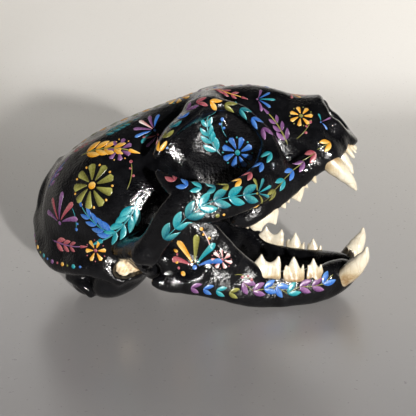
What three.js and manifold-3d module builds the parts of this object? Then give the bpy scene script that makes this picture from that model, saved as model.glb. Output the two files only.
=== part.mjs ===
// A domestic cat's skull with its lower jaw, life size, in millimetres, +Z up.
// The nose points along +X, the animal's left side is at +Y, and the skull lies on z = 0.
// Both halves are the same about y = 0. The head bone is drawn about the jaw hinge with its
// palate level, then turned up about that hinge by GAPE; the lower jaw is drawn as it lies.

import * as THREE from 'three';
import { mergeVertices } from 'three/addons/utils/BufferGeometryUtils.js';
import Module from 'manifold-3d';

const wasm = await Module();
wasm.setup();

// Driving dimensions.
const GAPE = THREE.MathUtils.degToRad(34);
const HINGE_HEIGHT = 17.7;
const HINGE_X = -8.24;
const HINGE_RADIUS = 2.6;
const HINGE_GAP = 0.5;
const SOCKET_GAP = 0.3;
const CHIN_GAP = 0.15;
const FACET = 1.04;
const FLOOR_BLOCK = 200;
const NOSE_FRONT = 56.9;
const NOSE_SLANT = 0.13;

// Sides of a section: the braincase, large bones, slender bones, small bones and teeth, slight ones.
const DOME = 12;
const COARSE = 8;
const SLENDER = 6;
const SMALL = 5;
const SLIGHT = 4;

const BONE = { color: 0x0b0b0e, roughness: 0.3, metalness: 0 };
const ENAMEL = { color: 0xe9dfc4, roughness: 0.4, metalness: 0 };

const UP = [0, 0, 1];
const AHEAD = [1, 0, 0];

// ---------------------------------------------------------------- shape helpers

// A closed three.js geometry as a solid.
function solid(geometry) {
  const bare = geometry.clone();
  bare.deleteAttribute('normal');
  bare.deleteAttribute('uv');
  const merged = mergeVertices(bare, 1e-4);
  const mesh = new wasm.Mesh({
    numProp: 3,
    vertProperties: new Float32Array(merged.attributes.position.array),
    triVerts: new Uint32Array(merged.index.array),
  });
  return new wasm.Manifold(mesh);
}

// A solid as a three.js mesh.
function meshOf(name, shape, look) {
  const { vertProperties, triVerts } = shape.getMesh();
  const geometry = new THREE.BufferGeometry();
  geometry.setAttribute('position', new THREE.BufferAttribute(vertProperties, 3));
  geometry.setIndex(new THREE.BufferAttribute(triVerts, 1));
  geometry.computeVertexNormals();
  const mesh = new THREE.Mesh(geometry, new THREE.MeshStandardMaterial(look));
  mesh.name = name;
  return mesh;
}

// A tapering bone along a smooth line. Each station is [x, y, z, half height, half width],
// with the height measured towards `up`; the ends are domes, flattened by `cap`, or flat at 0.
function limb(stations, { up = UP, sides = SLENDER, cap = 1 } = {}) {
  const spine = new THREE.CatmullRomCurve3(stations.map(([x, y, z]) => new THREE.Vector3(x, y, z)));
  const upward = new THREE.Vector3(...up);
  const last = stations.length - 1;
  const rings = [];
  const ring = (station, tangent, along, shrink) => {
    const [x, y, z, high, wide] = station;
    const rise = upward.clone().addScaledVector(tangent, -upward.dot(tangent)).normalize();
    const side = new THREE.Vector3().crossVectors(tangent, rise);
    const centre = new THREE.Vector3(x, y, z).addScaledVector(tangent, along);
    const points = [];
    for (let i = 0; i < sides; i += 1) {
      const angle = Math.PI / 2 + (2 * Math.PI * i) / sides;
      const point = centre.clone();
      point.addScaledVector(side, Math.cos(angle) * wide * shrink * FACET);
      point.addScaledVector(rise, Math.sin(angle) * high * shrink * FACET);
      points.push(point);
    }
    rings.push(points);
  };
  const dome = (station) => Math.min(station[3], station[4]) * cap;
  stations.forEach((station, i) => {
    const tangent = spine.getTangent(i / last);
    if (i === 0 && cap > 0) ring(station, tangent, -0.65 * dome(station), 0.72);
    ring(station, tangent, 0, 1);
    if (i === last && cap > 0) ring(station, tangent, 0.65 * dome(station), 0.72);
  });
  const tip = (i, sense) => {
    const [x, y, z] = stations[i];
    const out = spine.getTangent(i / last).multiplyScalar(sense * dome(stations[i]));
    return new THREE.Vector3(x, y, z).add(out);
  };
  const points = [...rings.flat(), tip(0, -1), tip(last, 1)];
  const faces = [];
  for (let r = 0; r < rings.length - 1; r += 1) {
    for (let i = 0; i < sides; i += 1) {
      const j = (i + 1) % sides;
      const [a, b, c, d] = [r * sides + i, r * sides + j, (r + 1) * sides + j, (r + 1) * sides + i];
      faces.push(a, c, b, a, d, c);
    }
  }
  const end = (rings.length - 1) * sides;
  for (let i = 0; i < sides; i += 1) {
    const j = (i + 1) % sides;
    faces.push(points.length - 2, i, j);
    faces.push(points.length - 1, end + j, end + i);
  }
  const geometry = new THREE.BufferGeometry().setFromPoints(points);
  geometry.setIndex(faces);
  return solid(geometry);
}

// An egg shape: centre, three radii, and a turn about Z in degrees.
function egg([x, y, z], radii, turn = 0, sides = COARSE) {
  const geometry = new THREE.SphereGeometry(1, sides, Math.round(sides * 0.55));
  geometry.scale(...radii.map((radius) => radius * FACET));
  geometry.rotateZ(THREE.MathUtils.degToRad(turn));
  geometry.translate(x, y, z);
  return solid(geometry);
}

// A tooth point: where its middle leaves the gum, its tip, and its half length and half width.
function cusp([x, y, z], tip, long, wide) {
  const stations = [
    [x, y, z, long, wide],
    [...tip, 0.4, 0.35],
  ];
  return limb(stations, { up: AHEAD, sides: SMALL, cap: 0 });
}

const join = (shapes) => shapes.reduce((whole, shape) => whole.add(shape));
const bothSides = (shapes) => shapes.flatMap((shape) => [shape, shape.mirror([0, 1, 0])]);

// Everything below the surface that the skull lies on, in the frame of a bone turned by `turn`.
function underFloor(turn) {
  const geometry = new THREE.BoxGeometry(FLOOR_BLOCK, FLOOR_BLOCK, FLOOR_BLOCK);
  geometry.translate(0, 0, -HINGE_HEIGHT - FLOOR_BLOCK / 2);
  geometry.rotateY(turn);
  return solid(geometry);
}

// ---------------------------------------------------------------- head bone

// The brain's case and the forehead, one long egg that narrows behind the eyes.
function braincase() {
  const dome = limb([
    [-29, 0, 13, 10.5, 7.5],
    [-26, 0, 13.8, 14, 12],
    [-20.5, 0, 14.2, 16.2, 16],
    [-14, 0, 14.4, 17.6, 19],
    [-6, 0, 14.6, 18, 20.8],
    [2, 0, 15.2, 17.5, 20.8],
    [8, 0, 16, 16.4, 18.6],
    [14, 0, 17, 14.4, 15.2],
    [20, 0, 16.8, 13, 12.6],
    [27, 0, 15, 12.6, 10.6],
    [34, 0, 11.6, 13, 9.2],
    [40, 0, 7.4, 11.6, 8.6],
  ], { sides: DOME, cap: 0.3 });
  const backPlate = egg([-21.4, 0, 5], [6.6, 13.4, 9], 0, SLENDER);
  return [dome, backPlate];
}

function face() {
  const muzzle = limb([
    [34, 0, 7.4, 14, 9.4],
    [38, 0, 5.8, 13.2, 10],
    [42, 0, 4.4, 11.4, 10.4],
    [46, 0, 3.1, 10.1, 10.6],
    [50, 0, 1.6, 8.6, 10],
    [53.4, 0, 0.4, 7.4, 8.4],
    [57.6, 0, -1.1, 6.2, 6.4],
  ], { sides: COARSE, cap: 0 });
  const noseRoof = limb([
    [46, 0, 9.6, 2.4, 5],
    [51, 0, 8.2, 2, 4.4],
    [54.8, 0, 7.4, 1.3, 3.2],
    [57.4, 0, 6.9, 0.8, 2],
  ], { sides: SMALL, cap: 0 });
  const palate = limb([
    [56.3, 0, -5, 2.1, 4.4],
    [51, 0, -4.5, 2.2, 8.6],
    [40, 0, -3.6, 2.2, 12.5],
    [28, 0, -3, 2, 17.5],
    [21, 0, -3, 1.8, 15.5],
    [17, 0, -3.2, 1.6, 9],
  ], { cap: 0 });
  const core = limb([
    [38, 0, 4, 9, 9.6],
    [31, 0, 4, 9.5, 7.4],
    [20, 0, 5, 9, 7],
    [9, 0, 4.8, 8, 9.6],
    [-2, 0, 2.4, 6.2, 10],
    [-14, 0, 0.9, 4.8, 8.6],
    [-26.5, 0, -0.2, 2, 5],
  ], { cap: 0 });
  return [muzzle, noseRoof, palate, core];
}

// The upper jaw's tooth ridge, the swelling over the fang's root, and the wing beside the throat.
function upperJawSide() {
  const ridge = limb([
    [53.2, 6.8, -4.4, 2.7, 2.3],
    [49.5, 9.8, -4.2, 3.3, 2.5],
    [45.5, 11, -4.2, 3.5, 2.4],
    [41, 12.8, -4.4, 3.6, 2.5],
    [36, 15.6, -4.8, 3.6, 2.6],
    [30.5, 18.2, -5, 3.6, 2.6],
    [25, 19.9, -5, 3.1, 2.3],
    [22.6, 19.4, -5, 2, 1.8],
  ]);
  const rootSwelling = limb([
    [50, 9.7, -4.4, 3.2, 3.4],
    [48.4, 9.5, 0.6, 3.1, 3.1],
    [44.6, 8, 7, 1.9, 1.9],
  ], { up: AHEAD, cap: 0 });
  const wing = limb([
    [17.5, 7, -3.4, 2.4, 1.2],
    [12, 6.4, -4, 3, 1],
    [7, 6.2, -4.4, 3, 0.9],
    [0.5, 7, -5.6, 0.9, 0.7],
  ], { sides: SLIGHT });
  return [ridge, rootSwelling, wing];
}

// The cheek arch with its horn, and the rim and horn of the brow.
function eyeFrame() {
  const arch = limb([
    [38, 14.2, 1.4, 4.9, 3.1],
    [32.4, 21.2, 0.2, 4.6, 2.5],
    [25.5, 27.6, 2.2, 4.5, 1.8],
    [20.8, 30.4, 5.2, 4.8, 1.7],
    [15, 32, 7.2, 4.2, 1.8],
    [7.5, 31.6, 4.6, 3.6, 1.7],
    [1.5, 29.2, 3.6, 2.7, 2.1],
    [-2.5, 25.6, 3.9, 2.5, 2.9],
    [-6, 21, 4.4, 2.7, 3.4],
  ]);
  const cheekHorn = limb([
    [19.6, 30.2, 7, 4.4, 1.6],
    [17.2, 30, 11.4, 2.7, 1.4],
    [15.2, 28.4, 15, 1.7, 1.1],
    [14.6, 27.4, 17, 1, 0.9],
  ], { up: AHEAD, sides: SMALL });
  const browHorn = limb([
    [31, 4, 23.6, 2, 4],
    [27.8, 11, 23.4, 2.1, 4.5],
    [23.6, 17, 23.2, 1.9, 3.9],
    [19.4, 22, 22.4, 1.6, 2.7],
    [16.2, 24.8, 20.6, 1, 1.3],
  ]);
  const frontRim = limb([
    [27.6, 12.4, 23.8, 1.6, 2.7],
    [32.6, 10.2, 22.2, 1.5, 1.9],
    [37, 10.2, 18, 1.5, 1.6],
    [39.2, 11.8, 12.4, 1.6, 1.7],
    [39.8, 14, 6.6, 2, 2.1],
    [38, 16.4, 2.4, 2.4, 2.3],
  ], { up: AHEAD, sides: SMALL, cap: 0 });
  return [arch, cheekHorn, browHorn, frontRim];
}

// The hinge trough's block, the crest across the back, the neck knobs and the ear's drum case.
function backOfHead() {
  const hingeBlock = limb([
    [-0.6, 17, 2.6, 3.3, 4.3],
    [-0.4, 24, 2.8, 3.1, 4.3],
    [0.4, 30, 2.4, 2.7, 3.3],
  ]);
  const hingeLip = limb([
    [-3.6, 17, -2, 2.9, 1.4],
    [-3.8, 21, -1.8, 2.9, 1.4],
    [-3.4, 25, -1, 2.5, 1.3],
    [-2.6, 28, 0.6, 1.7, 1.1],
  ]);
  const hingeWall = limb([
    [-3.8, 26, 2.2, 3.2, 2],
    [-0.8, 28.8, 1.2, 3.2, 1.7],
    [3, 30.4, 2.6, 3, 1.4],
    [6.4, 31, 4, 2.4, 1.2],
  ], { sides: SMALL, cap: 0 });
  const hingeStop = egg([-3.6, 18.6, -3.2], [2.8, 3, 4.4], 0, SLENDER);
  const crest = limb([
    [-28.6, 0, 20.6, 2.3, 2.5],
    [-29.8, 6, 16, 2.3, 2.2],
    [-27.6, 12, 10.2, 2.3, 2],
    [-20, 17.8, 6.2, 2.5, 2],
    [-14, 19.3, 1.4, 2.7, 1.7],
    [-12.8, 18.8, -2.4, 1.9, 1.3],
  ], { up: AHEAD, sides: SMALL });
  const shoulder = limb([
    [-24.6, 0, 16.4, 5, 5],
    [-24.8, 6, 13.4, 5, 5],
    [-23, 10.6, 9.6, 4.8, 4.6],
    [-13.6, 15.4, 5, 4.4, 3.4],
  ], { sides: SMALL, cap: 0 });
  const neckKnob = egg([-26, 7.2, 1.1], [3.4, 4.2, 4.7]);
  const drumCase = egg([-14, 11.8, -2], [9.6, 6.7, 5.6], -14);
  const earRim = egg([-8.4, 16.4, -0.6], [6.2, 3.8, 4.8], 0, SLENDER);
  return [hingeBlock, hingeLip, hingeWall, hingeStop, crest, shoulder, neckKnob, drumCase, earRim];
}

// The bowl between the forehead, the face and the temple.
function eyeSocket() {
  return egg([27.2, 25, 12.6], [12, 16.5, 10.8], 0, COARSE);
}

// Hinge troughs, small face holes and ear openings, one of each for a side.
function sideHollows() {
  const trough = limb([
    [0, 16, 0, HINGE_RADIUS + HINGE_GAP, HINGE_RADIUS + HINGE_GAP],
    [0, 29.2, 0, HINGE_RADIUS + HINGE_GAP, HINGE_RADIUS + HINGE_GAP],
  ], { sides: COARSE, cap: 0 });
  const faceHole = limb([
    [45, 14.4, -0.2, 1.4, 1.1],
    [40, 12.4, 0.6, 1.7, 1.2],
    [34, 13.4, 0.8, 1.7, 1.2],
  ], { sides: SLIGHT, cap: 0 });
  const earOpening = egg([-8.4, 20.4, -0.6], [4.3, 5.6, 2.8], 0, SLENDER);
  return [trough, faceHole, earOpening];
}

function middleHollows() {
  const nostril = limb([
    [62, 0, 1.6, 5.2, 4.6],
    [54.5, 0, 1.6, 5.4, 4.8],
    [48, 0, 2.4, 5, 4.6],
    [42, 0, 3.4, 3, 3],
  ], { sides: SMALL, cap: 0 });
  const nostrilSweep = egg([59.6, 0, 3.2], [4.1, 14, 3.4]);
  const front = new THREE.BoxGeometry(FLOOR_BLOCK, FLOOR_BLOCK, FLOOR_BLOCK);
  front.translate(FLOOR_BLOCK / 2, 0, 0);
  front.rotateY(-NOSE_SLANT);
  front.translate(NOSE_FRONT, 0, 0);
  const neckOpening = limb([
    [-38, 0, 3.6, 4.6, 5.8],
    [-27, 0, 4.4, 4.6, 6],
    [-18, 0, 5.5, 4.6, 6],
  ], { cap: 0 });
  const throat = limb([
    [17, 0, -5.6, 3.4, 4.6],
    [10, 0, -5.2, 3.6, 4.8],
    [2, 0, -5.2, 2.6, 4.6],
    [-6, 0, -5.6, 1.2, 3],
  ], { sides: SMALL, cap: 0 });
  return [nostril, nostrilSweep, solid(front), neckOpening, throat];
}

// Upper teeth of one side that are fused in the head bone: cheek teeth from back to front,
// then the three nippers.
function upperTeeth() {
  return [
    cusp([23.6, 18.2, -6.6], [23.6, 18.2, -8.4], 1, 1.5),
    cusp([26.6, 19.2, -7], [26.2, 19.5, -10.4], 2.7, 1.1),
    cusp([30.4, 17.9, -6.9], [30, 18, -11.2], 3, 1.6),
    cusp([34, 16.7, -6.9], [34.2, 16.8, -9.2], 1.6, 1.2),
    cusp([38.4, 13.9, -6.8], [37.9, 14, -10.2], 2.9, 1.3),
    cusp([41.2, 13, -6.8], [41.3, 13.1, -8.5], 1.1, 1),
    cusp([43.8, 12, -6.8], [43.7, 12, -8.7], 1.1, 0.9),
    cusp([54.4, 5.2, -6], [54.8, 5.3, -9.8], 1.2, 1),
    cusp([55.2, 3.1, -6], [55.8, 3.1, -9.3], 0.95, 0.9),
    cusp([55.6, 1.15, -6], [56.2, 1.15, -9.1], 0.85, 0.8),
  ];
}

// ---------------------------------------------------------------- lower jaw, left half

function jawBone() {
  const body = limb([
    [51.2, 1.4, -9.6, 2.6, 2],
    [49.6, 2.4, -10.4, 4, 3.2],
    [46.4, 4.4, -11.6, 5.1, 3.7],
    [42, 7.4, -12.5, 5.2, 2.9],
    [35, 10.2, -12.9, 5.2, 2.6],
    [27, 12.8, -12.2, 5.4, 2.6],
    [18, 16.6, -9.8, 4.6, 2.2],
    [9, 20.9, -8.3, 3.3, 1.8],
    [3.2, 24, -7.6, 2.1, 1.5],
    [1, 24.8, -7.2, 1.3, 1.1],
  ]);
  const frontEdge = limb([
    [25.5, 13.6, -7.2, 2.3, 1.9],
    [21, 15.2, -3.4, 2.7, 1.8],
    [16.6, 17, 1.2, 3.3, 1.6],
    [12, 18.8, 6, 3.9, 1.3],
    [8, 20.2, 10, 3.5, 1.1],
    [5.6, 21, 12.4, 2.3, 1],
  ], { up: AHEAD, sides: SMALL });
  const plate = limb([
    [19, 16.4, -6.6, 4.2, 1.4],
    [13, 18.6, -2.6, 4.8, 1.1],
    [8.6, 20, 2, 4.8, 1],
    [6.2, 20.8, 7, 3.5, 0.9],
  ], { up: AHEAD, sides: SMALL });
  const rearEdge = limb([
    [9, 20.6, -5, 4.2, 1.2],
    [5, 22.2, -3.6, 4.1, 1.2],
    [3.2, 23.2, -3.4, 3.7, 1.1],
  ], { sides: SMALL });
  const neck = limb([
    [12, 19.6, -5.6, 2.7, 1.5],
    [6.6, 21.4, -2.6, 2.4, 1.9],
    [2, 22.6, -0.8, 2.2, 2.4],
  ], { sides: SMALL, cap: 0 });
  const hingeBar = limb([
    [0, 17.6, -0.2, 1.7, 1.7],
    [0, 20, -0.1, 2.3, 2.3],
    [0, 22.6, 0, HINGE_RADIUS, HINGE_RADIUS],
    [0, 25.2, 0, 2.3, 2.3],
    [0, 27.2, -0.1, 1.5, 1.5],
  ]);
  const muscleHollow = egg([13.5, 26.4, -1], [8, 6.4, 6], 18);
  const middle = new THREE.BoxGeometry(FLOOR_BLOCK, FLOOR_BLOCK, FLOOR_BLOCK);
  middle.translate(0, CHIN_GAP - FLOOR_BLOCK / 2, 0);
  return join([body, frontEdge, plate, rearEdge, neck, hingeBar])
    .subtract(muscleHollow)
    .subtract(solid(middle));
}

// Lower cheek teeth from back to front, then the three nippers.
function lowerTeeth() {
  return [
    limb([[26, 13.4, -7, 2.1, 1.1], [29, 13, -6.6, 1.9, 1], [32, 12.4, -7, 2, 1.1]], { sides: SMALL }),
    cusp([27.2, 13.2, -8], [27.5, 13.2, -2.7], 2.9, 1.4),
    cusp([31.4, 12.6, -8], [32, 12.7, -3.2], 2.5, 1.4),
    cusp([34.1, 11.8, -9.2], [34.1, 11.8, -5.9], 1.3, 1.2),
    cusp([36.1, 11.1, -9.4], [36, 11.2, -3.7], 2.4, 1.3),
    cusp([38.4, 10.3, -9.4], [38.6, 10.4, -6], 1.3, 1.1),
    cusp([41.3, 9, -9.8], [41.2, 9.2, -4.6], 2, 1.2),
    cusp([43.1, 8.2, -9.6], [43.3, 8.4, -6.4], 1, 0.9),
    cusp([51, 3.4, -8], [51.6, 3.4, -5.4], 0.8, 0.8),
    cusp([51.4, 2.1, -8.2], [52, 2.1, -5.6], 0.7, 0.7),
    cusp([51.6, 0.9, -8.3], [52.2, 0.9, -5.8], 0.6, 0.55),
  ];
}

// ---------------------------------------------------------------- the four fangs

// A fang's line from root to tip, `grow` fatter all round for its socket.
function upperFang(grow) {
  return limb([
    [48.6, 9.2, 0.5, 1.4 + grow, 1.2 + grow],
    [49.2, 10.1, -3.4, 2.4 + grow, 1.9 + grow],
    [49.7, 10.7, -7, 2.5 + grow, 2 + grow],
    [50.7, 10.7, -11, 1.9 + grow, 1.6 + grow],
    [51.2, 10.4, -14.2, 1.15 + grow, 1.05 + grow],
    [51.2, 10, -16.3, 0.42 + grow, 0.42 + grow],
  ], { up: AHEAD });
}

function lowerFang(grow) {
  return limb([
    [48.4, 4.9, -12, 2.1 + grow, 1.7 + grow],
    [50, 5.6, -10.4, 2.5 + grow, 1.9 + grow],
    [52, 6.6, -7.8, 2.6 + grow, 2.1 + grow],
    [53.8, 7.8, -5, 2 + grow, 1.6 + grow],
    [54.9, 8.6, -2.8, 1.15 + grow, 1 + grow],
    [55.1, 9, -1, 0.45 + grow, 0.45 + grow],
  ], { up: AHEAD });
}

// ---------------------------------------------------------------- assembly

const core = join([...braincase(), ...face()]).subtract(join(bothSides([eyeSocket()])));
const sides = join(bothSides([...upperJawSide(), ...eyeFrame(), ...backOfHead()]));
const hollows = join([...middleHollows(), ...bothSides(sideHollows())]);
const cranium = core
  .add(sides)
  .subtract(hollows)
  .add(join(bothSides(upperTeeth())))
  .subtract(join(bothSides([upperFang(SOCKET_GAP)])))
  .subtract(underFloor(GAPE));

const jawLeft = jawBone()
  .add(join(lowerTeeth()))
  .subtract(lowerFang(SOCKET_GAP))
  .subtract(underFloor(0));

const head = new THREE.Group();
head.rotation.y = -GAPE;
head.add(meshOf('cranium', cranium, BONE));
head.add(meshOf('canine_upper_left', upperFang(0), ENAMEL));
head.add(meshOf('canine_upper_right', upperFang(0).mirror([0, 1, 0]), ENAMEL));

const jaw = new THREE.Group();
jaw.add(meshOf('mandible_left', jawLeft, BONE));
jaw.add(meshOf('mandible_right', jawLeft.mirror([0, 1, 0]), BONE));
jaw.add(meshOf('canine_lower_left', lowerFang(0), ENAMEL));
jaw.add(meshOf('canine_lower_right', lowerFang(0).mirror([0, 1, 0]), ENAMEL));

const skull = new THREE.Group();
skull.position.set(HINGE_X, 0, HINGE_HEIGHT);
skull.add(head, jaw);

export default skull;
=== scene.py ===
"""A painted cat skull: gloss black bones, bare teeth and ear bones, and a raised pattern in coloured paint.

Bones and teeth are built as solid fields in millimetres: eggs and limbs are melted together on a grid and
then skinned. The brush pattern is laid on the finished bones stroke by stroke. All pieces end up in metres.
"""
import logging
import math
from dataclasses import dataclass, replace
from enum import Enum
from typing import Iterable, Optional, Sequence

import bpy
import numpy as np
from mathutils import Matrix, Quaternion, Vector
from mathutils.bvhtree import BVHTree


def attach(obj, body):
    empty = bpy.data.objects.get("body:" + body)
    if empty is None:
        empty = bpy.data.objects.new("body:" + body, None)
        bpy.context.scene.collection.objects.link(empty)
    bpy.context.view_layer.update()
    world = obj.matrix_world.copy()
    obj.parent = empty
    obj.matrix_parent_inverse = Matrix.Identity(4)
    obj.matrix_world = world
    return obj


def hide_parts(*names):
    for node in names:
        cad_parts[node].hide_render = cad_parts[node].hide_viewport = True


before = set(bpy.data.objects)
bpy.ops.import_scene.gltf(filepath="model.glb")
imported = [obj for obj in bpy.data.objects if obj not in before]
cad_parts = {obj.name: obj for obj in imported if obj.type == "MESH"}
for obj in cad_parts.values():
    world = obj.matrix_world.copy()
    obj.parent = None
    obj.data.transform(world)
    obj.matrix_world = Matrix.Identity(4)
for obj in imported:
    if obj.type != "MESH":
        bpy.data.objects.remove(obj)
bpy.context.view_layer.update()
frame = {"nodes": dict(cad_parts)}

Point = tuple[float, float, float]
Station = tuple[float, float, float, float, float]
Material = bpy.types.Material
Node = bpy.types.Node
NodeTree = bpy.types.NodeTree
Piece = bpy.types.Object
Socket = bpy.types.NodeSocket

LOG = logging.getLogger("skull")
MM = 0.001  # metres in a millimetre
GAPE = math.radians(34.0)  # how far the head is tipped up about the hinge
HINGE = np.array([-8.24, 0.0, 17.7])  # the jaw hinge in the skull's frame, in millimetres
AHEAD: Point = (1.0, 0.0, 0.0)
UPRIGHT: Point = (0.0, 0.0, 1.0)
SMALL = 1e-6  # keeps a division finite
FAR = 1e9  # further than anything here
SHORTEST = 1e-5  # shorter parts of a limb are skipped
THINNEST = 0.15  # the least half height and half width of a limb
HALFWAY_UP = (0.66, 0.68)  # a cusp's length and width halfway up, as parts of those at the gum
AT_THE_TIP = (0.32, 0.3)  # a cusp's half length and half width at its tip
MIDDLE = (0.3, 0.7)  # where most values of a noise lie


class Side(Enum):
    """The two sides of the animal, by the sign of Y."""

    LEFT = 1
    RIGHT = -1

    @property
    def word(self) -> str:
        """Returns the side's word in the names of pieces."""
        return self.name.lower()


class Work(Enum):
    """What a shape does to the bone it meets."""

    ADD = "add"
    CARVE = "carve"


class BoneFrame(Enum):
    """The frame a bone is drawn in: both start at the jaw hinge, and the head's is tipped up."""

    HEAD = "head"
    JAW = "jaw"

    def place(self, points: np.ndarray) -> np.ndarray:
        """Moves points from this bone's frame to the skull's own.

        Args:
            points: Rows of x, y, z in millimetres from the hinge.

        Returns:
            The same rows in millimetres from the middle of the floor under the skull.
        """
        if self is BoneFrame.JAW:
            return points + HINGE
        turned = points.copy()
        turned[:, 0] = points[:, 0] * math.cos(GAPE) - points[:, 2] * math.sin(GAPE)
        turned[:, 2] = points[:, 0] * math.sin(GAPE) + points[:, 2] * math.cos(GAPE)
        return turned + HINGE

    def floor(self) -> "Cut":
        """Returns the cut that takes away what lies below the floor."""
        if self is BoneFrame.JAW:
            return Cut((0.0, 0.0, -HINGE[2]), UPRIGHT)
        up = (math.sin(GAPE), 0.0, math.cos(GAPE))
        return Cut(tuple(-HINGE[2] * part for part in up), up)


# ------------------------------------------------------------------ solid shapes


def mirrored_box(low: Point, high: Point) -> tuple[Point, Point]:
    """Returns the lowest and highest corners of the same box on the other side."""
    return (low[0], -high[1], low[2]), (high[0], -low[1], high[2])


@dataclass(frozen=True)
class Egg:
    """An egg with three radii, turned in degrees about X, Y and Z."""

    centre: Point
    radii: Point
    turn: Point = (0.0, 0.0, 0.0)

    def axes(self) -> np.ndarray:
        """Returns the egg's own axes as the columns of a 3 by 3 matrix."""
        (cx, cy, cz), (sx, sy, sz) = np.cos(np.radians(self.turn)), np.sin(np.radians(self.turn))
        about_x = np.array([[1, 0, 0], [0, cx, -sx], [0, sx, cx]])
        about_y = np.array([[cy, 0, sy], [0, 1, 0], [-sy, 0, cy]])
        about_z = np.array([[cz, -sz, 0], [sz, cz, 0], [0, 0, 1]])
        return about_z @ about_y @ about_x

    def mirrored(self) -> "Egg":
        """Returns the egg of the other side."""
        (x, y, z), (ax, ay, az) = self.centre, self.turn
        return replace(self, centre=(x, -y, z), turn=(-ax, ay, -az))

    def box(self) -> tuple[np.ndarray, np.ndarray]:
        """Returns the egg's lowest and highest corners."""
        reach = np.sqrt((self.axes() ** 2) @ np.square(self.radii))
        return np.array(self.centre) - reach, np.array(self.centre) + reach

    def distance(self, points: np.ndarray) -> np.ndarray:
        """Measures how far points are outside the egg.

        Args:
            points: Rows of x, y, z.

        Returns:
            One distance for each row, below zero inside.
        """
        local = (points - np.array(self.centre, np.float32)) @ self.axes().astype(np.float32)
        radii = np.array(self.radii, np.float32)
        near = np.linalg.norm(local / radii, axis=1)
        slope = np.linalg.norm(local / (radii * radii), axis=1)
        return near * (near - 1) / np.maximum(slope, SMALL)


@dataclass(frozen=True)
class Limb:
    """A tapering limb through stations of x, y, z, half height and half width."""

    stations: tuple[Station, ...]
    up: Point = UPRIGHT
    fine: int = 4
    cap: float = 1.0

    def rows(self) -> np.ndarray:
        """Returns the stations with smooth steps between them."""
        given = np.array(self.stations, float)
        if len(given) < 3:
            return np.linspace(given[0], given[-1], self.fine + 1)
        padded = np.vstack([2 * given[0] - given[1], given, 2 * given[-1] - given[-2]])
        rows = []
        for i in range(len(given) - 1):
            a, b, c, d = padded[i : i + 4]
            for t in np.arange(self.fine) / self.fine:
                curve = (2 * a - 5 * b + 4 * c - d) * t * t + (3 * b - a - 3 * c + d) * t**3
                rows.append(0.5 * (2 * b + (c - a) * t + curve))
        smooth = np.array(rows + [given[-1]])
        smooth[:, 3:] = np.maximum(smooth[:, 3:], THINNEST)
        return smooth

    def mirrored(self) -> "Limb":
        """Returns the limb of the other side."""
        flipped = tuple((x, -y, z, high, wide) for x, y, z, high, wide in self.stations)
        return replace(self, stations=flipped, up=(self.up[0], -self.up[1], self.up[2]))

    def box(self) -> tuple[np.ndarray, np.ndarray]:
        """Returns the limb's lowest and highest corners."""
        rows = self.rows()
        reach = rows[:, 3:].max(axis=1)[:, None]
        return (rows[:, :3] - reach).min(axis=0), (rows[:, :3] + reach).max(axis=0)

    def distance(self, points: np.ndarray) -> np.ndarray:
        """Measures how far points are outside the limb.

        Args:
            points: Rows of x, y, z.

        Returns:
            One distance for each row, below zero inside.
        """
        rows = self.rows().astype(np.float32)
        best = np.full(len(points), FAR, np.float32)
        upward = np.array(self.up, np.float32)
        last = len(rows) - 2
        for n, (start, stop) in enumerate(zip(rows[:-1], rows[1:])):
            length = float(np.linalg.norm(stop[:3] - start[:3]))
            if length < SHORTEST:
                continue
            along = (stop[:3] - start[:3]) / length
            across = upward - along * (upward @ along)
            across /= np.linalg.norm(across)
            sideways = np.cross(along, across)
            local = points - start[:3]
            travel = local @ along
            part = np.clip(travel / length, 0, 1)
            past = travel - part * length
            if n == 0:
                past = np.where(past < 0, past / self.cap, past)
            if n == last:
                past = np.where(past > 0, past / self.cap, past)
            high = start[3] + (stop[3] - start[3]) * part
            wide = start[4] + (stop[4] - start[4]) * part
            end = np.minimum(high, wide)
            u, v = local @ across, local @ sideways
            near = np.sqrt((u / high) ** 2 + (v / wide) ** 2 + (past / end) ** 2)
            slope = np.sqrt((u / high**2) ** 2 + (v / wide**2) ** 2 + (past / end**2) ** 2)
            np.minimum(best, near * (near - 1) / np.maximum(slope, SMALL), out=best)
        return best


@dataclass(frozen=True)
class Cut:
    """The half of space behind a plane, given by a point on it and its outward direction."""

    point: Point
    outward: Point

    def mirrored(self) -> "Cut":
        """Returns the cut of the other side."""
        (x, y, z), (nx, ny, nz) = self.point, self.outward
        return Cut((x, -y, z), (nx, -ny, nz))

    def box(self) -> tuple[np.ndarray, np.ndarray]:
        """Returns corners that take in every bone."""
        return np.full(3, -1e3), np.full(3, 1e3)

    def distance(self, points: np.ndarray) -> np.ndarray:
        """Measures how far points are in front of the plane.

        Args:
            points: Rows of x, y, z.

        Returns:
            One distance for each row, below zero behind the plane.
        """
        return (points - np.array(self.point, np.float32)) @ np.array(self.outward, np.float32)


Shape = Egg | Limb | Cut


@dataclass(frozen=True)
class Step:
    """One shape, what it does, how softly it melts into the rest, and whether both sides get it."""

    work: Work
    shape: Shape
    blend: float
    both: bool = False

    def shapes(self, mirror_all: bool) -> list[Shape]:
        """Lists the shapes that this step stands for.

        Args:
            mirror_all: Builds the right-hand bone from a left-hand list.

        Returns:
            One shape, or a mirrored pair.
        """
        if self.both:
            return [self.shape, self.shape.mirrored()]
        return [self.shape.mirrored() if mirror_all else self.shape]


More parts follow.
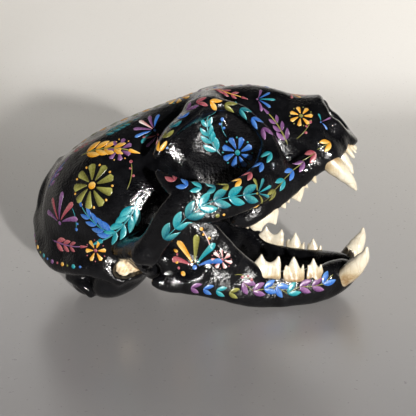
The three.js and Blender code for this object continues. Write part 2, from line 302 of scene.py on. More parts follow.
class BoneField:
    """A grid of distances to a solid, which shapes are melted into or carved out of.

    Attributes:
        empty: The distance that an empty grid holds, in millimetres.
        margin: How far past a shape's box the shape is worked, in millimetres.
        rounds: How many times the skin is smoothed.
        pulls: How many times it is pulled back to the solid after each.
        least_slope: Keeps a pull short where the distances hardly change.
        longest_pull: The longest pull, in cells.
    """

    empty = 50.0
    margin = 2.5
    rounds = 3
    pulls = 2
    least_slope = 0.05
    longest_pull = 0.4

    def __init__(self, low: Point, high: Point, cell: float) -> None:
        """Makes an empty grid.

        Args:
            low: The grid's lowest corner in millimetres.
            high: The grid's highest corner in millimetres.
            cell: The grid's spacing in millimetres.
        """
        self.low = np.array(low, float)
        self.cell = cell
        self.count = np.ceil((np.array(high) - self.low) / cell).astype(int) + 1
        self.values = np.full(self.count, self.empty, np.float32)

    def work(self, steps: Iterable[Step], mirror_all: bool = False) -> "BoneField":
        """Melts and carves a list of shapes, in order.

        Args:
            steps: The shapes and what each does.
            mirror_all: Builds the right-hand bone from a left-hand list.

        Returns:
            This field, for chaining.
        """
        for step in steps:
            for shape in step.shapes(mirror_all):
                self._apply(step.work, shape, step.blend)
        return self

    def _apply(self, work: Work, shape: Shape, blend: float) -> None:
        """Melts one shape in or carves it out.

        Args:
            work: Whether the shape is added or carved.
            shape: The shape.
            blend: The width of the soft joint in millimetres.
        """
        low, high = shape.box()
        pad = blend + self.margin
        first = np.clip(np.floor((low - pad - self.low) / self.cell).astype(int), 0, self.count)
        after = np.clip(np.ceil((high + pad - self.low) / self.cell).astype(int) + 1, 0, self.count)
        if (after <= first).any():
            return
        part = tuple(slice(a, b) for a, b in zip(first, after))
        ticks = [self.low[i] + self.cell * np.arange(first[i], after[i]) for i in range(3)]
        points = np.stack(np.meshgrid(*ticks, indexing="ij"), -1).reshape(-1, 3).astype(np.float32)
        old = self.values[part]
        new = shape.distance(points).reshape(old.shape)
        if work is Work.CARVE:
            new = -new
        soft = np.maximum(blend - np.abs(old - new), 0) / blend
        melt = soft * soft * blend * 0.25
        chosen = np.minimum(old, new) - melt if work is Work.ADD else np.maximum(old, new) + melt
        self.values[part] = chosen

    def ripple(self, height: float, length: float, seed: int, waves: int = 9) -> "BoneField":
        """Adds the slow, uneven swell of grown bone.

        Args:
            height: How far the swell stands proud in millimetres.
            length: The mean wavelength in millimetres.
            seed: Picks the waves.
            waves: How many waves are summed.

        Returns:
            This field, for chaining.
        """
        rng = np.random.default_rng(seed)
        ticks = [self.low[i] + self.cell * np.arange(self.count[i]) for i in range(3)]
        total = np.zeros(self.count, np.float32)
        for _ in range(waves):
            way = rng.normal(size=3)
            way *= 2 * math.pi / (np.linalg.norm(way) * length * rng.uniform(0.7, 1.5))
            phase = rng.uniform(0, 2 * math.pi)
            x, y, z = (np.exp(1j * way[i] * ticks[i]).astype(np.complex64) for i in range(3))
            wave = x[:, None, None] * y[None, :, None] * (z * np.exp(1j * phase))[None, None, :]
            total += wave.real
        self.values += total * (height / math.sqrt(waves))
        return self

    def sample(self, points: np.ndarray) -> tuple[np.ndarray, np.ndarray]:
        """Reads the grid between its points.

        Args:
            points: Rows of x, y, z in the grid's frame.

        Returns:
            The distance at each row, and its slope along X, Y and Z.
        """
        place = np.clip((points - self.low) / self.cell, 0, self.count - 1.001)
        base = place.astype(int)
        fx, fy, fz = (place - base).T
        i, j, k = base.T
        corner = {
            (a, b, c): self.values[i + a, j + b, k + c] for a in (0, 1) for b in (0, 1) for c in (0, 1)
        }
        weight = {0: (1 - fx, 1 - fy, 1 - fz), 1: (fx, fy, fz)}
        value = sum(weight[a][0] * weight[b][1] * weight[c][2] * v for (a, b, c), v in corner.items())
        slope = np.zeros((len(points), 3))
        for (a, b, c), v in corner.items():
            slope[:, 0] += (2 * a - 1) * weight[b][1] * weight[c][2] * v
            slope[:, 1] += (2 * b - 1) * weight[a][0] * weight[c][2] * v
            slope[:, 2] += (2 * c - 1) * weight[a][0] * weight[b][1] * v
        return value, slope / self.cell

    def skin(self) -> tuple[np.ndarray, np.ndarray]:
        """Wraps the solid in a net of quads and settles it on the true surface.

        Returns:
            Rows of x, y, z, and rows of four indices that face outwards.
        """
        points, quads = self._net()
        limit = self.longest_pull * self.cell
        for _ in range(self.rounds):
            points = self._relax(points, quads)
            for _ in range(self.pulls):
                value, slope = self.sample(points)
                steep = np.maximum((slope**2).sum(axis=1), self.least_slope)
                shift = slope * (value / steep)[:, None]
                points = points - np.clip(shift, -limit, limit)
        return points, quads

    @staticmethod
    def _relax(points: np.ndarray, quads: np.ndarray) -> np.ndarray:
        """Moves each point halfway to the mean of its neighbours.

        Args:
            points: Rows of x, y, z.
            quads: Rows of four indices.

        Returns:
            The moved points.
        """
        total = np.zeros_like(points)
        count = np.zeros(len(points))
        for a, b in ((0, 1), (1, 2), (2, 3), (3, 0)):
            for start, stop in ((quads[:, a], quads[:, b]), (quads[:, b], quads[:, a])):
                for axis in range(3):
                    total[:, axis] += np.bincount(start, points[stop, axis], len(points))
                count += np.bincount(start, minlength=len(points))
        return 0.5 * points + 0.5 * total / np.maximum(count, 1)[:, None]

    def _net(self) -> tuple[np.ndarray, np.ndarray]:
        """Puts one point in each cell that the surface crosses and joins them with quads.

        Returns:
            Rows of x, y, z, and rows of four indices that face outwards.
        """
        inside = self.values < 0
        nx, ny, nz = self.values.shape
        corners = [(i, j, k) for i in (0, 1) for j in (0, 1) for k in (0, 1)]
        total = np.zeros((nx - 1, ny - 1, nz - 1), np.int8)
        for i, j, k in corners:
            total += inside[i : nx - 1 + i, j : ny - 1 + j, k : nz - 1 + k]
        crossed = (total > 0) & (total < 8)
        cells = np.argwhere(crossed)
        number = -np.ones(crossed.shape, np.int64)
        number[crossed] = np.arange(len(cells))
        offset = np.zeros((len(cells), 3))
        hits = np.zeros(len(cells))
        i, j, k = cells.T
        for corner in corners:
            for axis in range(3):
                if corner[axis]:
                    continue
                other = list(corner)
                other[axis] = 1
                here = self.values[i + corner[0], j + corner[1], k + corner[2]]
                there = self.values[i + other[0], j + other[1], k + other[2]]
                met = (here < 0) != (there < 0)
                spot = np.tile(np.array(corner, float), (len(cells), 1))
                spot[:, axis] += np.where(met, here / np.where(met, here - there, 1), 0)
                offset[met] += spot[met]
                hits[met] += 1
        points = self.low + self.cell * (cells + offset / hits[:, None])
        quads = []
        for axis in range(3):
            lower, upper = [slice(None)] * 3, [slice(None)] * 3
            lower[axis], upper[axis] = slice(0, -1), slice(1, None)
            edges = np.argwhere(inside[tuple(lower)] != inside[tuple(upper)])
            side = [other for other in range(3) if other != axis]
            fits = np.ones(len(edges), bool)
            for other in side:
                fits &= (edges[:, other] > 0) & (edges[:, other] < self.values.shape[other] - 1)
            edges = edges[fits]
            outward = inside[tuple(lower)][tuple(edges.T)]
            ring = []
            for step in ((-1, -1), (0, -1), (0, 0), (-1, 0)):
                cell = edges.copy()
                cell[:, side[0]] += step[0]
                cell[:, side[1]] += step[1]
                ring.append(number[tuple(cell.T)])
            quad = np.stack(ring, 1)
            if axis == 1:
                outward = ~outward
            quad[~outward] = quad[~outward][:, ::-1]
            quads.append(quad)
        return points, np.vstack(quads)


# ------------------------------------------------------------------ shapes of the bones


def add(shape: Shape, blend: float, both: bool = False) -> Step:
    """Returns a step that melts a shape in."""
    return Step(Work.ADD, shape, blend, both)


def carve(shape: Shape, blend: float, both: bool = False) -> Step:
    """Returns a step that carves a shape out."""
    return Step(Work.CARVE, shape, blend, both)


def head_steps() -> list[Step]:
    """Lists the shapes of the head bone, in the head's frame.

    Returns:
        The steps in the order they are worked.
    """
    braincase = [
        add(Egg((-5.4, 0, 14.2), (24.6, 18.4, 18.2)), 2),
        add(Egg((-2.5, 7.4, 12), (17, 13.4, 13.8), (0, 0, -6)), 3, True),
        add(Egg((-5, 9.2, 7.6), (14, 11.2, 8.2), (0, 0, -6)), 3, True),
        add(Limb((
            (-14, 0, 21, 11, 12), (-4, 0, 21, 11.4, 13.5), (5, 0, 20.4, 11.6, 12.8),
            (12, 0, 18.8, 11.8, 10.8), (18, 0, 17.6, 11.8, 9.6), (24, 0, 16.6, 11.2, 9.6),
            (30, 0, 14.4, 11.4, 9.2), (36, 0, 10.8, 11.2, 8.6), (41, 0, 6.8, 10.4, 8),
        ), cap=0.4), 2.5),
    ]
    face = [
        add(Limb((
            (34, 0, 7.6, 14.2, 9.2), (38, 0, 5.6, 13, 9.8), (42, 0, 4.2, 11.2, 10.2), (46, 0, 2.9, 9.9, 10.4),
            (50, 0, 1.4, 8.4, 9.8), (53.4, 0, 0.4, 7.3, 8.2), (57, 0, -1, 6.2, 6.4),
        ), cap=0.2), 2),
        add(Limb((
            (55.8, 0, -5, 2.1, 4.4), (50, 0, -4.3, 2.2, 9), (42, 0, -3.6, 2.2, 11.5),
            (34, 0, -3.2, 2.2, 15.5), (27, 0, -3, 2, 17.5), (21, 0, -3, 1.8, 15.5), (17, 0, -3.2, 1.6, 9),
        )), 2.5),
        add(Limb((
            (38, 0, 4, 9, 9.6), (32, 0, 4, 9.5, 7.6), (26, 0, 4.5, 9.5, 7), (20, 0, 5, 9, 7),
            (14, 0, 5.6, 8.5, 8), (8, 0, 4.6, 8, 10), (0, 0, 2.6, 6.4, 10), (-10, 0, 1.2, 5, 9),
            (-20, 0, 0.6, 4.4, 8), (-27, 0, -0.2, 2, 5),
        )), 4),
        add(Limb((
            (46, 0, 9.6, 2.4, 5), (51, 0, 8.2, 2, 4.4), (54.8, 0, 7.4, 1.3, 3.2), (57, 0, 7, 0.8, 2),
        )), 1),
        carve(Egg((27.2, 25, 12.6), (12.3, 16.8, 11.1)), 1.6, True),
        add(Limb((
            (53.2, 6.8, -4.4, 2.6, 2.2), (49.5, 9.8, -4.2, 3.2, 2.4), (45.5, 11, -4.2, 3.4, 2.3),
            (41, 12.8, -4.4, 3.5, 2.4), (36, 15.6, -4.8, 3.5, 2.5), (30.5, 18.2, -5, 3.5, 2.5),
            (25, 19.9, -5, 3, 2.2), (22.6, 19.4, -5, 2, 1.8),
        )), 2, True),
        add(Limb((
            (50, 9.7, -4.4, 3.1, 3.3), (48.4, 9.5, 0.6, 3, 3), (44.6, 8, 7, 1.8, 1.8),
        ), AHEAD), 2, True),
    ]
    cheek = [
        add(Limb((
            (38, 14.2, 1.4, 4.8, 3), (34.6, 18.4, 0.2, 4.6, 2.8), (30.5, 23.4, 0.6, 4.2, 2.1),
            (25.5, 27.6, 2, 4.2, 1.7), (20.8, 30.4, 4.8, 4.7, 1.6), (16, 31.6, 7.2, 4, 1.5),
            (11, 31.8, 6, 3.9, 1.5), (6, 31.2, 4.2, 3.3, 1.5), (1.5, 29.2, 3.6, 2.6, 2),
            (-2.5, 25.6, 3.9, 2.4, 2.8), (-6, 21, 4.4, 2.6, 3.4),
        )), 2.5, True),
        add(Limb((
            (19.6, 30.2, 7, 4.4, 1.5), (17.2, 30, 11.4, 2.6, 1.3), (15.2, 28.4, 15, 1.6, 1),
            (14.6, 27.4, 17, 0.9, 0.8),
        ), AHEAD), 1.5, True),
    ]
    brow = [
        add(Limb((
            (31, 4, 23.6, 2, 4), (27.8, 11, 23.4, 2, 4.4), (23.6, 17, 23.2, 1.8, 3.8),
            (19.4, 22, 22.4, 1.5, 2.6), (16.2, 24.8, 20.6, 0.9, 1.2),
        )), 3, True),
        add(Limb((
            (27.6, 12.4, 23.8, 1.5, 2.6), (32.6, 10.2, 22.2, 1.4, 1.8), (37, 10.2, 18, 1.4, 1.5),
            (39.2, 11.8, 12.4, 1.5, 1.6), (39.8, 14, 6.6, 1.9, 2), (38, 16.4, 2.4, 2.3, 2.2),
        ), AHEAD), 3, True),
    ]
    hinge = [
        add(Limb(((-0.6, 17, 2.6, 3.2, 4.2), (-0.4, 24, 2.8, 3, 4.2), (0.4, 30, 2.4, 2.6, 3.2))), 2, True),
        add(Limb((
            (-3.6, 17, -2, 2.8, 1.3), (-3.8, 21, -1.8, 2.8, 1.3), (-3.4, 25, -1, 2.4, 1.2),
            (-2.6, 28, 0.6, 1.6, 1),
        )), 1.5, True),
        add(Limb((
            (-1.8, 27, 2.6, 2.8, 1.8), (0.6, 29.2, 1.2, 3, 1.6), (3.4, 30.4, 2.6, 2.8, 1.4),
            (6.4, 31, 4, 2.4, 1.2),
        )), 1.4, True),
        add(Egg((-3.6, 18.6, -3.2), (2.8, 3, 4.4)), 1.2, True),
    ]
    rear = [
        add(Limb((
            (-28.6, 0, 20.6, 2.2, 2.4), (-29.6, 4, 17.8, 2.2, 2.2), (-29.8, 8.4, 13.6, 2.2, 2),
            (-27, 12.4, 9.8, 2.2, 1.9), (-22, 16.6, 7.2, 2.4, 2), (-17, 18.9, 4.4, 2.4, 1.8),
            (-13.8, 19.3, 0.6, 2.6, 1.6), (-12.8, 18.8, -2.4, 1.8, 1.2),
        ), AHEAD), 2.5, True),
        add(Limb((
            (-14, 0, 31.4, 1.4, 1.2), (-21, 0, 28.4, 1.8, 1), (-25.4, 0, 24.6, 2.2, 1),
            (-28.8, 0, 20.4, 2, 1.5),
        )), 2),
        add(Limb((
            (-24.6, 0, 16.4, 5, 5), (-25, 5.6, 13.6, 5, 5), (-23.4, 10, 9.8, 4.8, 4.6),
            (-18.6, 13.6, 7.6, 4.8, 4), (-13.6, 15.4, 5, 4.4, 3.4),
        )), 4, True),
        add(Egg((-21.4, 0, 5), (6.6, 13.4, 9)), 3),
        add(Egg((-26, 7.2, 1.1), (3.4, 4.2, 4.7)), 1.5, True),
        add(Limb((
            (-26, 10.5, 4.6, 3, 2), (-24.8, 13.4, 1.2, 1.6, 1.5), (-24.2, 13.8, -2.2, 1.1, 1.1),
        ), AHEAD), 1.5, True),
        add(Egg((-14, 11.8, -2), (9.4, 6.6, 5.5), (0, 0, -14)), 1.6, True),
        add(Egg((-8.4, 16.4, -0.6), (6.2, 3.8, 4.7), (0, 8, 0)), 1.4, True),
        add(Limb((
            (17.5, 7, -3.4, 2.4, 1.2), (12, 6.4, -4, 3, 1), (7, 6.2, -4.4, 3, 0.9), (3, 6.6, -5, 2, 0.8),
            (0.5, 7, -5.6, 0.9, 0.7),
        )), 1.5, True),
    ]
    openings = [
        carve(Limb((
            (62, 0, 1.6, 5.2, 4.6), (54.5, 0, 1.6, 5.4, 4.8), (48, 0, 2.6, 5.2, 4.6), (42, 0, 3.6, 3, 3),
        )), 0.8),
        carve(Egg((59.6, 0, 3.2), (4.1, 14, 3.4)), 0.8),
        carve(Cut((56.9, 0, 0), (-1, 0, -0.13)), 0.6),
        carve(Limb(((0, 16.5, 0, 3, 3), (0, 26.4, 0, 3, 3))), 0.5, True),
        carve(Limb(((-38, 0, 3.6, 4.6, 5.8), (-27, 0, 4.4, 4.6, 6), (-18, 0, 5.5, 4.6, 6))), 1),
        carve(Limb((
            (45, 14.4, -0.2, 1.4, 1.1), (40, 12.4, 0.6, 1.7, 1.2), (34, 13.4, 0.8, 1.7, 1.2),
        )), 0.6, True),
        carve(Egg((-8.4, 20.4, -0.6), (4.5, 5.6, 3.0), (0, 8, 0)), 0.7, True),
        carve(Limb((
            (17, 0, -5.6, 3.4, 4.6), (10, 0, -5.2, 3.6, 4.8), (2, 0, -5.2, 2.6, 4.6), (-6, 0, -5.6, 1.2, 3),
        )), 1.2),
    ]
    return braincase + face + cheek + brow + hinge + rear + openings + [carve(BoneFrame.HEAD.floor(), 0.4)]


def jaw_steps() -> list[Step]:
    """Lists the shapes of the left half of the lower jaw, in the jaw's frame.

    Returns:
        The steps in the order they are worked.
    """
    body = [
        add(Limb((
            (51.2, 1.4, -9.6, 2.6, 2), (49.6, 2.4, -10.4, 4, 3.2), (46.4, 4.4, -11.6, 5, 3.6),
            (42, 7.4, -12.5, 5.1, 2.8), (36, 9.9, -12.9, 5.1, 2.5), (30, 11.8, -12.6, 5.3, 2.5),
            (24, 14, -11.6, 5.2, 2.4), (18, 16.6, -9.8, 4.6, 2.1), (12, 19.4, -8.6, 3.8, 1.8),
            (6, 22.4, -8, 2.7, 1.6), (2.8, 24.2, -7.6, 1.9, 1.4), (1, 24.8, -7.2, 1.2, 1),
        )), 1.6),
    ]
    plate = [
        add(Limb((
            (25.5, 13.6, -7.2, 2.2, 1.8), (21, 15.2, -3.4, 2.6, 1.7), (16.6, 17, 1.2, 3.2, 1.5),
            (12, 18.8, 6, 3.8, 1.2), (8, 20.2, 10, 3.4, 1), (5.6, 21, 12.4, 2.2, 0.9),
        ), AHEAD), 2.4),
        add(Limb((
            (19, 16.4, -6.6, 4, 1.3), (13, 18.6, -2.6, 4.6, 1), (8.6, 20, 2, 4.6, 0.9),
            (6.2, 20.8, 7, 3.4, 0.8),
        ), AHEAD), 2.4),
    ]
    hinge = [
        add(Limb(((9, 20.6, -5, 4, 1.1), (5, 22.2, -3.6, 4, 1.1), (3.2, 23.2, -3.4, 3.6, 1))), 1.5),
        add(Limb(((12, 19.6, -5.6, 2.6, 1.4), (6.6, 21.4, -2.6, 2.3, 1.8), (2, 22.6, -0.8, 2.2, 2.6))), 2),
        add(Limb((
            (0, 17.6, -0.2, 1.7, 1.7), (0, 20, -0.1, 2.3, 2.3), (0, 22.6, 0, 2.6, 2.6),
            (0, 25.2, 0, 2.3, 2.3), (0, 27.2, -0.1, 1.5, 1.5),
        )), 1),
    ]
    cuts = [
        carve(Egg((13, 26, -0.6), (8.2, 6.2, 6.2), (0, -34, 18)), 1.6),
        carve(Cut((0, 0.15, 0), (0, 1, 0)), 0.2),
        carve(BoneFrame.JAW.floor(), 0.4),
    ]
    return body + plate + hinge + cuts


def cusp(base: Point, tip: Point, long: float, wide: float, blend: float = 0.8) -> Step:
    """Makes one point of a tooth.

    Args:
        base: Where the middle of the point leaves the gum.
        tip: The point's tip.
        long: Half the length along the jaw.
        wide: Half the width across the jaw.
        blend: How softly it melts into its neighbours.

    Returns:
        The step that adds it to both sides.
    """
    middle = tuple(b + (t - b) * 0.5 for b, t in zip(base, tip))
    waist = (*middle, long * HALFWAY_UP[0], wide * HALFWAY_UP[1])
    rows = ((*base, long, wide), waist, (*tip, *AT_THE_TIP))
    return add(Limb(rows, AHEAD), blend, True)


def upper_tooth_steps() -> list[Step]:
    """Lists the points of the upper cheek teeth and nippers, in the head's frame.

    Returns:
        Cheek teeth from back to front, then nippers.
    """
    return [
        cusp((23.6, 18.2, -6.6), (23.6, 18.2, -8.4), 1, 1.5),
        cusp((26.6, 19.2, -7), (26.2, 19.5, -10.4), 2.7, 1.1),
        add(Limb((
            (31.4, 17.7, -7.8, 1.4, 0.9), (28.4, 18.7, -8.4, 1.3, 0.8), (25.2, 19.5, -8.4, 1.3, 0.7),
        )), 0.9, True),
        cusp((30.4, 17.9, -6.9), (30, 18, -11.2), 3, 1.6),
        cusp((34, 16.7, -6.9), (34.2, 16.8, -9.2), 1.6, 1.2),
        cusp((34.4, 14.8, -6.3), (34.4, 14.6, -7.8), 1.2, 1.3),
        cusp((38.4, 13.9, -6.8), (37.9, 14, -10.2), 2.9, 1.3),
        cusp((41.2, 13, -6.8), (41.3, 13.1, -8.5), 1.1, 1),
        cusp((35.7, 15.1, -6.8), (35.5, 15.2, -8.8), 1.3, 1.1),
        cusp((43.8, 12, -6.8), (43.7, 12, -8.7), 1.1, 0.9),
        cusp((54.4, 5.2, -6.2), (54.8, 5.3, -9.8), 1.2, 1, 0.3),
        cusp((55.2, 3.1, -6.2), (55.8, 3.1, -9.3), 0.95, 0.9, 0.3),
        cusp((55.6, 1.15, -6.2), (56.2, 1.15, -9.1), 0.85, 0.8, 0.3),
    ]


def lower_tooth_steps() -> list[Step]:
    """Lists the points of the lower cheek teeth and nippers, in the jaw's frame.

    Returns:
        Cheek teeth from back to front, then nippers.
    """
    return [
        cusp((24.4, 13.7, -7.8), (24.2, 13.7, -6.2), 0.9, 1.1),
        add(Limb(((26, 13.4, -7, 2.1, 1.1), (29, 13, -6.6, 1.9, 1), (32, 12.4, -7, 2, 1.1))), 0.9, True),
        cusp((27.2, 13.2, -8), (27.5, 13.2, -2.7), 2.9, 1.4),
        cusp((31.4, 12.6, -8), (32, 12.7, -3.2), 2.5, 1.4),
        cusp((34.1, 11.8, -9.2), (34.1, 11.8, -5.9), 1.3, 1.2),
        cusp((36.1, 11.1, -9.4), (36, 11.2, -3.7), 2.5, 1.3),
        cusp((38.4, 10.3, -9.4), (38.6, 10.4, -6), 1.3, 1.1),
        cusp((39.9, 9.6, -9.4), (39.8, 9.7, -6.3), 1, 1),
        cusp((41.3, 9, -9.8), (41.2, 9.2, -4.6), 2.1, 1.2),
        cusp((43.1, 8.2, -9.6), (43.3, 8.4, -6.4), 1, 0.9),
        carve(Egg((33, 12.2, -6.6), (0.32, 3, 4)), 0.6, True),
        carve(Egg((39.2, 10, -7.2), (0.3, 3, 4)), 0.6, True),
        cusp((51, 3.4, -8), (51.6, 3.4, -5.4), 0.8, 0.8, 0.3),
        cusp((51.4, 2.1, -8.2), (52, 2.1, -5.6), 0.7, 0.7, 0.3),
        cusp((51.6, 0.9, -8.3), (52.2, 0.9, -5.8), 0.6, 0.55, 0.3),
    ]


def upper_fang_steps() -> list[Step]:
    """Returns the left upper fang in the head's frame, root to tip."""
    rows = (
        (48.6, 9.2, 0.5, 1.4, 1.2), (49.2, 10.1, -3.4, 2.4, 1.9), (49.7, 10.7, -7, 2.5, 2),
        (50.7, 10.7, -11, 1.9, 1.6), (51.2, 10.4, -14.2, 1.15, 1.05), (51.2, 10, -16.3, 0.42, 0.42),
    )
    return [add(Limb(rows, AHEAD), 1)]


def lower_fang_steps() -> list[Step]:
    """Returns the left lower fang in the jaw's frame, root to tip."""
    rows = (
        (47.6, 4.6, -13, 2, 1.7), (50, 5.6, -10.4, 2.5, 1.9), (52, 6.6, -7.8, 2.6, 2.1),
        (53.8, 7.8, -5, 2, 1.6), (54.9, 8.6, -2.8, 1.15, 1), (55.1, 9, -1, 0.45, 0.45),
    )
    return [add(Limb(rows, AHEAD), 1)]


# ------------------------------------------------------------------ shader tools


class Shader:
    """A small helper that adds and joins nodes in one tree."""

    def __init__(self, tree: NodeTree) -> None:
        """Keeps the tree that nodes are added to."""
        self.tree = tree

    def node(self, kind: str, **values: object) -> Node:
        """Adds a node.

        Args:
            kind: Blender's name for the node's type.
            **values: Attributes to set on it.

        Returns:
            The new node.
        """
        made = self.tree.nodes.new(kind)
        for name, value in values.items():
            setattr(made, name, value)
        return made

    def join(self, start: Socket, stop: Socket) -> None:
        """Links one socket to another."""
        self.tree.links.new(start, stop)

    @staticmethod
    def put(node: Node, values: dict[str, object]) -> Node:
        """Sets constants on a node's own inputs.

        Args:
            node: The node.
            values: The constants by the names of the inputs.

        Returns:
            The same node.
        """
        for name, value in values.items():
            node.inputs[name].default_value = value
        return node

    def noise(self, place: Socket, size: float, detail: float = 3.0, rough: float = 0.55) -> Node:
        """Adds a noise whose spots are a given size.

        Args:
            place: The coordinates that it reads.
            size: The size of a spot in metres.
            detail: How many finer octaves it has.
            rough: How strong the finer octaves are.

        Returns:
            The noise node.
        """
        made = self.node("ShaderNodeTexNoise")
        self.put(made, {"Scale": 1.0 / size, "Detail": detail, "Roughness": rough})
        self.join(place, made.inputs["Vector"])
        return made

    def stretch(self, place: Socket, scale: Point, turn: Point = (0.0, 0.0, 0.0)) -> Socket:
        """Turns and squeezes coordinates.

        Args:
            place: The coordinates that it reads.
            scale: The factor along each axis.
            turn: The turn about each axis in degrees.

        Returns:
            The new coordinates.
        """
        made = self.node("ShaderNodeMapping")
        self.put(made, {"Scale": scale, "Rotation": tuple(math.radians(part) for part in turn)})
        self.join(place, made.inputs["Vector"])
        return made.outputs["Vector"]

    def span(self, value: Socket, from_low: float, from_high: float, low: float, high: float) -> Socket:
        """Maps one span of values to another, held at its ends.

        Args:
            value: The value to map.
            from_low: The start of the span that it comes from.
            from_high: The end of that span.
            low: The start of the span that it goes to.
            high: The end of that span.

        Returns:
            The mapped value.
        """
        made = self.node("ShaderNodeMapRange")
        self.put(made, {"From Min": from_low, "From Max": from_high, "To Min": low, "To Max": high})
        self.join(value, made.inputs["Value"])
        return made.outputs["Result"]

    def sum(self, kind: str, first: Socket, second: Socket | float) -> Socket:
        """Adds a math node.

        Args:
            kind: ADD, MULTIPLY and so on.
            first: The first value.
            second: The second value, a socket or a number.

        Returns:
            The result.
        """
        made = self.node("ShaderNodeMath", operation=kind)
        self.join(first, made.inputs[0])
        if isinstance(second, (int, float)):
            made.inputs[1].default_value = second
        else:
            self.join(second, made.inputs[1])
        return made.outputs[0]

    def mix(self, part: Socket, first: object, second: object, blend: str = "MIX") -> Socket:
        """Mixes two colours.

        Args:
            part: How much of the second shows.
            first: A socket, or red, green and blue.
            second: A socket, or red, green and blue.
            blend: The way they are mixed.

        Returns:
            The mixed colour.
        """
        made = self.node("ShaderNodeMix", data_type="RGBA", blend_type=blend)
        self.join(part, made.inputs["Factor"])
        for name, colour in (("A", first), ("B", second)):
            socket = next(s for s in made.inputs if s.name == name and s.type == "RGBA")
            if isinstance(colour, Socket):
                self.join(colour, socket)
            else:
                socket.default_value = (*colour, 1.0)
        return next(s for s in made.outputs if s.type == "RGBA")


class Groups:
    """Effects that more than one finish uses, each built once.

    Attributes:
        grit, drag, cross, puddle: The sizes of the brush marks in metres.
        stain, pore: The sizes of the marks on bone and teeth in metres.
        cracks: How many cracks there are to the metre.
    """

    grit = 0.0007
    drag = 0.0008
    cross = 0.001
    puddle = 0.0032
    stain = 0.0019
    pore = 0.00028
    cracks = 620.0

    @staticmethod
    def start(
        name: str, inputs: Sequence[str], outputs: Sequence[str]
    ) -> tuple[NodeTree, Shader, Node, Node]:
        """Makes an empty group with its sockets.

        Args:
            name: The group's name.
            inputs: The names of its inputs, each 1 until it is set.
            outputs: The names of its outputs.

        Returns:
            The group, a helper for its nodes, and its input and output nodes.
        """
        tree = bpy.data.node_groups.new(name, "ShaderNodeTree")
        kind = "NodeSocketFloat"
        for label in inputs:
            tree.interface.new_socket(label, in_out="INPUT", socket_type=kind).default_value = 1.0
        for label in outputs:
            tree.interface.new_socket(label, in_out="OUTPUT", socket_type=kind)
        shader = Shader(tree)
        return tree, shader, shader.node("NodeGroupInput"), shader.node("NodeGroupOutput")

    @staticmethod
    def brushed_coat() -> NodeTree:
        """Builds the relief of paint put on with a small brush: grit, drag lines and puddles.

        Returns:
            The group, with inputs for the size of each effect and outputs Height, Grit and Puddle.
        """
        name = "brushed_coat"
        if name in bpy.data.node_groups:
            return bpy.data.node_groups[name]
        sockets = (("Grit", "Drag", "Puddle"), ("Height", "Grit", "Puddle"))
        tree, shader, given, out = Groups.start(name, *sockets)
        place = shader.node("ShaderNodeTexCoord").outputs["Object"]
        grit = shader.noise(place, Groups.grit, 3.0, 0.55).outputs["Fac"]
        along = shader.stretch(place, (0.16, 1.0, 1.0), (0, 24, 12))
        lines = shader.noise(along, Groups.drag, 2.0).outputs["Fac"]
        askew = shader.stretch(place, (1.0, 1.0, 0.2), (0, -18, 0))
        cross = shader.noise(askew, Groups.cross, 2.0).outputs["Fac"]
        puddle = shader.noise(place, Groups.puddle, 2.0).outputs["Fac"]
        drag = shader.sum("ADD", lines, cross)
        height = shader.sum("MULTIPLY", grit, given.outputs["Grit"])
        height = shader.sum("ADD", height, shader.sum("MULTIPLY", drag, given.outputs["Drag"]))
        height = shader.sum("ADD", height, shader.sum("MULTIPLY", puddle, given.outputs["Puddle"]))
        shader.join(height, out.inputs["Height"])
        shader.join(grit, out.inputs["Grit"])
        shader.join(puddle, out.inputs["Puddle"])
        return tree

    @staticmethod
    def grown_bone() -> NodeTree:
        """Builds the stains, pores and fine cracks of teeth and bare bone.

        Returns:
            The group, with inputs Stain Size and Crack Size and outputs Stain, Pores and Cracks.
        """
        name = "grown_bone"
        if name in bpy.data.node_groups:
            return bpy.data.node_groups[name]
        sockets = (("Stain Size", "Crack Size"), ("Stain", "Pores", "Cracks"))
        tree, shader, given, out = Groups.start(name, *sockets)
        place = shader.node("ShaderNodeTexCoord").outputs["Object"]
        scaled = shader.node("ShaderNodeVectorMath", operation="SCALE")
        shader.join(place, scaled.inputs[0])
        shader.join(given.outputs["Stain Size"], scaled.inputs["Scale"])
        stain = shader.noise(scaled.outputs[0], Groups.stain, 3.0).outputs["Fac"]
        pores = shader.noise(place, Groups.pore, 2.0).outputs["Fac"]
        sized = shader.node("ShaderNodeVectorMath", operation="SCALE")
        shader.join(shader.stretch(place, (1.0, 1.0, 0.3)), sized.inputs[0])
        shader.join(given.outputs["Crack Size"], sized.inputs["Scale"])
        cracks = shader.node("ShaderNodeTexVoronoi", feature="DISTANCE_TO_EDGE")
        shader.put(cracks, {"Scale": Groups.cracks})
        shader.join(sized.outputs[0], cracks.inputs["Vector"])
        line = shader.span(cracks.outputs["Distance"], 0.0, 0.05, 1.0, 0.0)
        shader.join(shader.span(stain, 0.38, 0.66, 0.0, 1.0), out.inputs["Stain"])
        shader.join(pores, out.inputs["Pores"])
        shader.join(line, out.inputs["Cracks"])
        return tree


class Finish:
    """What every finish shares: a material with one Principled shader."""

    def start(self, name: str) -> tuple[Material, Shader, Node]:
        """Makes the empty material.

        Args:
            name: The material's name.

        Returns:
            The material, a helper for its nodes, and its Principled shader.
        """
        made = bpy.data.materials.new(name)
        made.use_nodes = True
        return made, Shader(made.node_tree), made.node_tree.nodes["Principled BSDF"]

    @staticmethod
    def relief(shader: Shader, surface: Node, height: Socket, depth: float, strength: float) -> None:
        """Raises the surface by a height.

        Args:
            shader: The material's node helper.
            surface: The shader that gets the relief.
            height: The height, about 0 to 1.
            depth: What a height of 1 means in metres.
            strength: How much of it shows.
        """
        bump = shader.node("ShaderNodeBump")
        shader.put(bump, {"Strength": strength, "Distance": depth})
        shader.join(height, bump.inputs["Height"])
        shader.join(bump.outputs["Normal"], surface.inputs["Normal"])


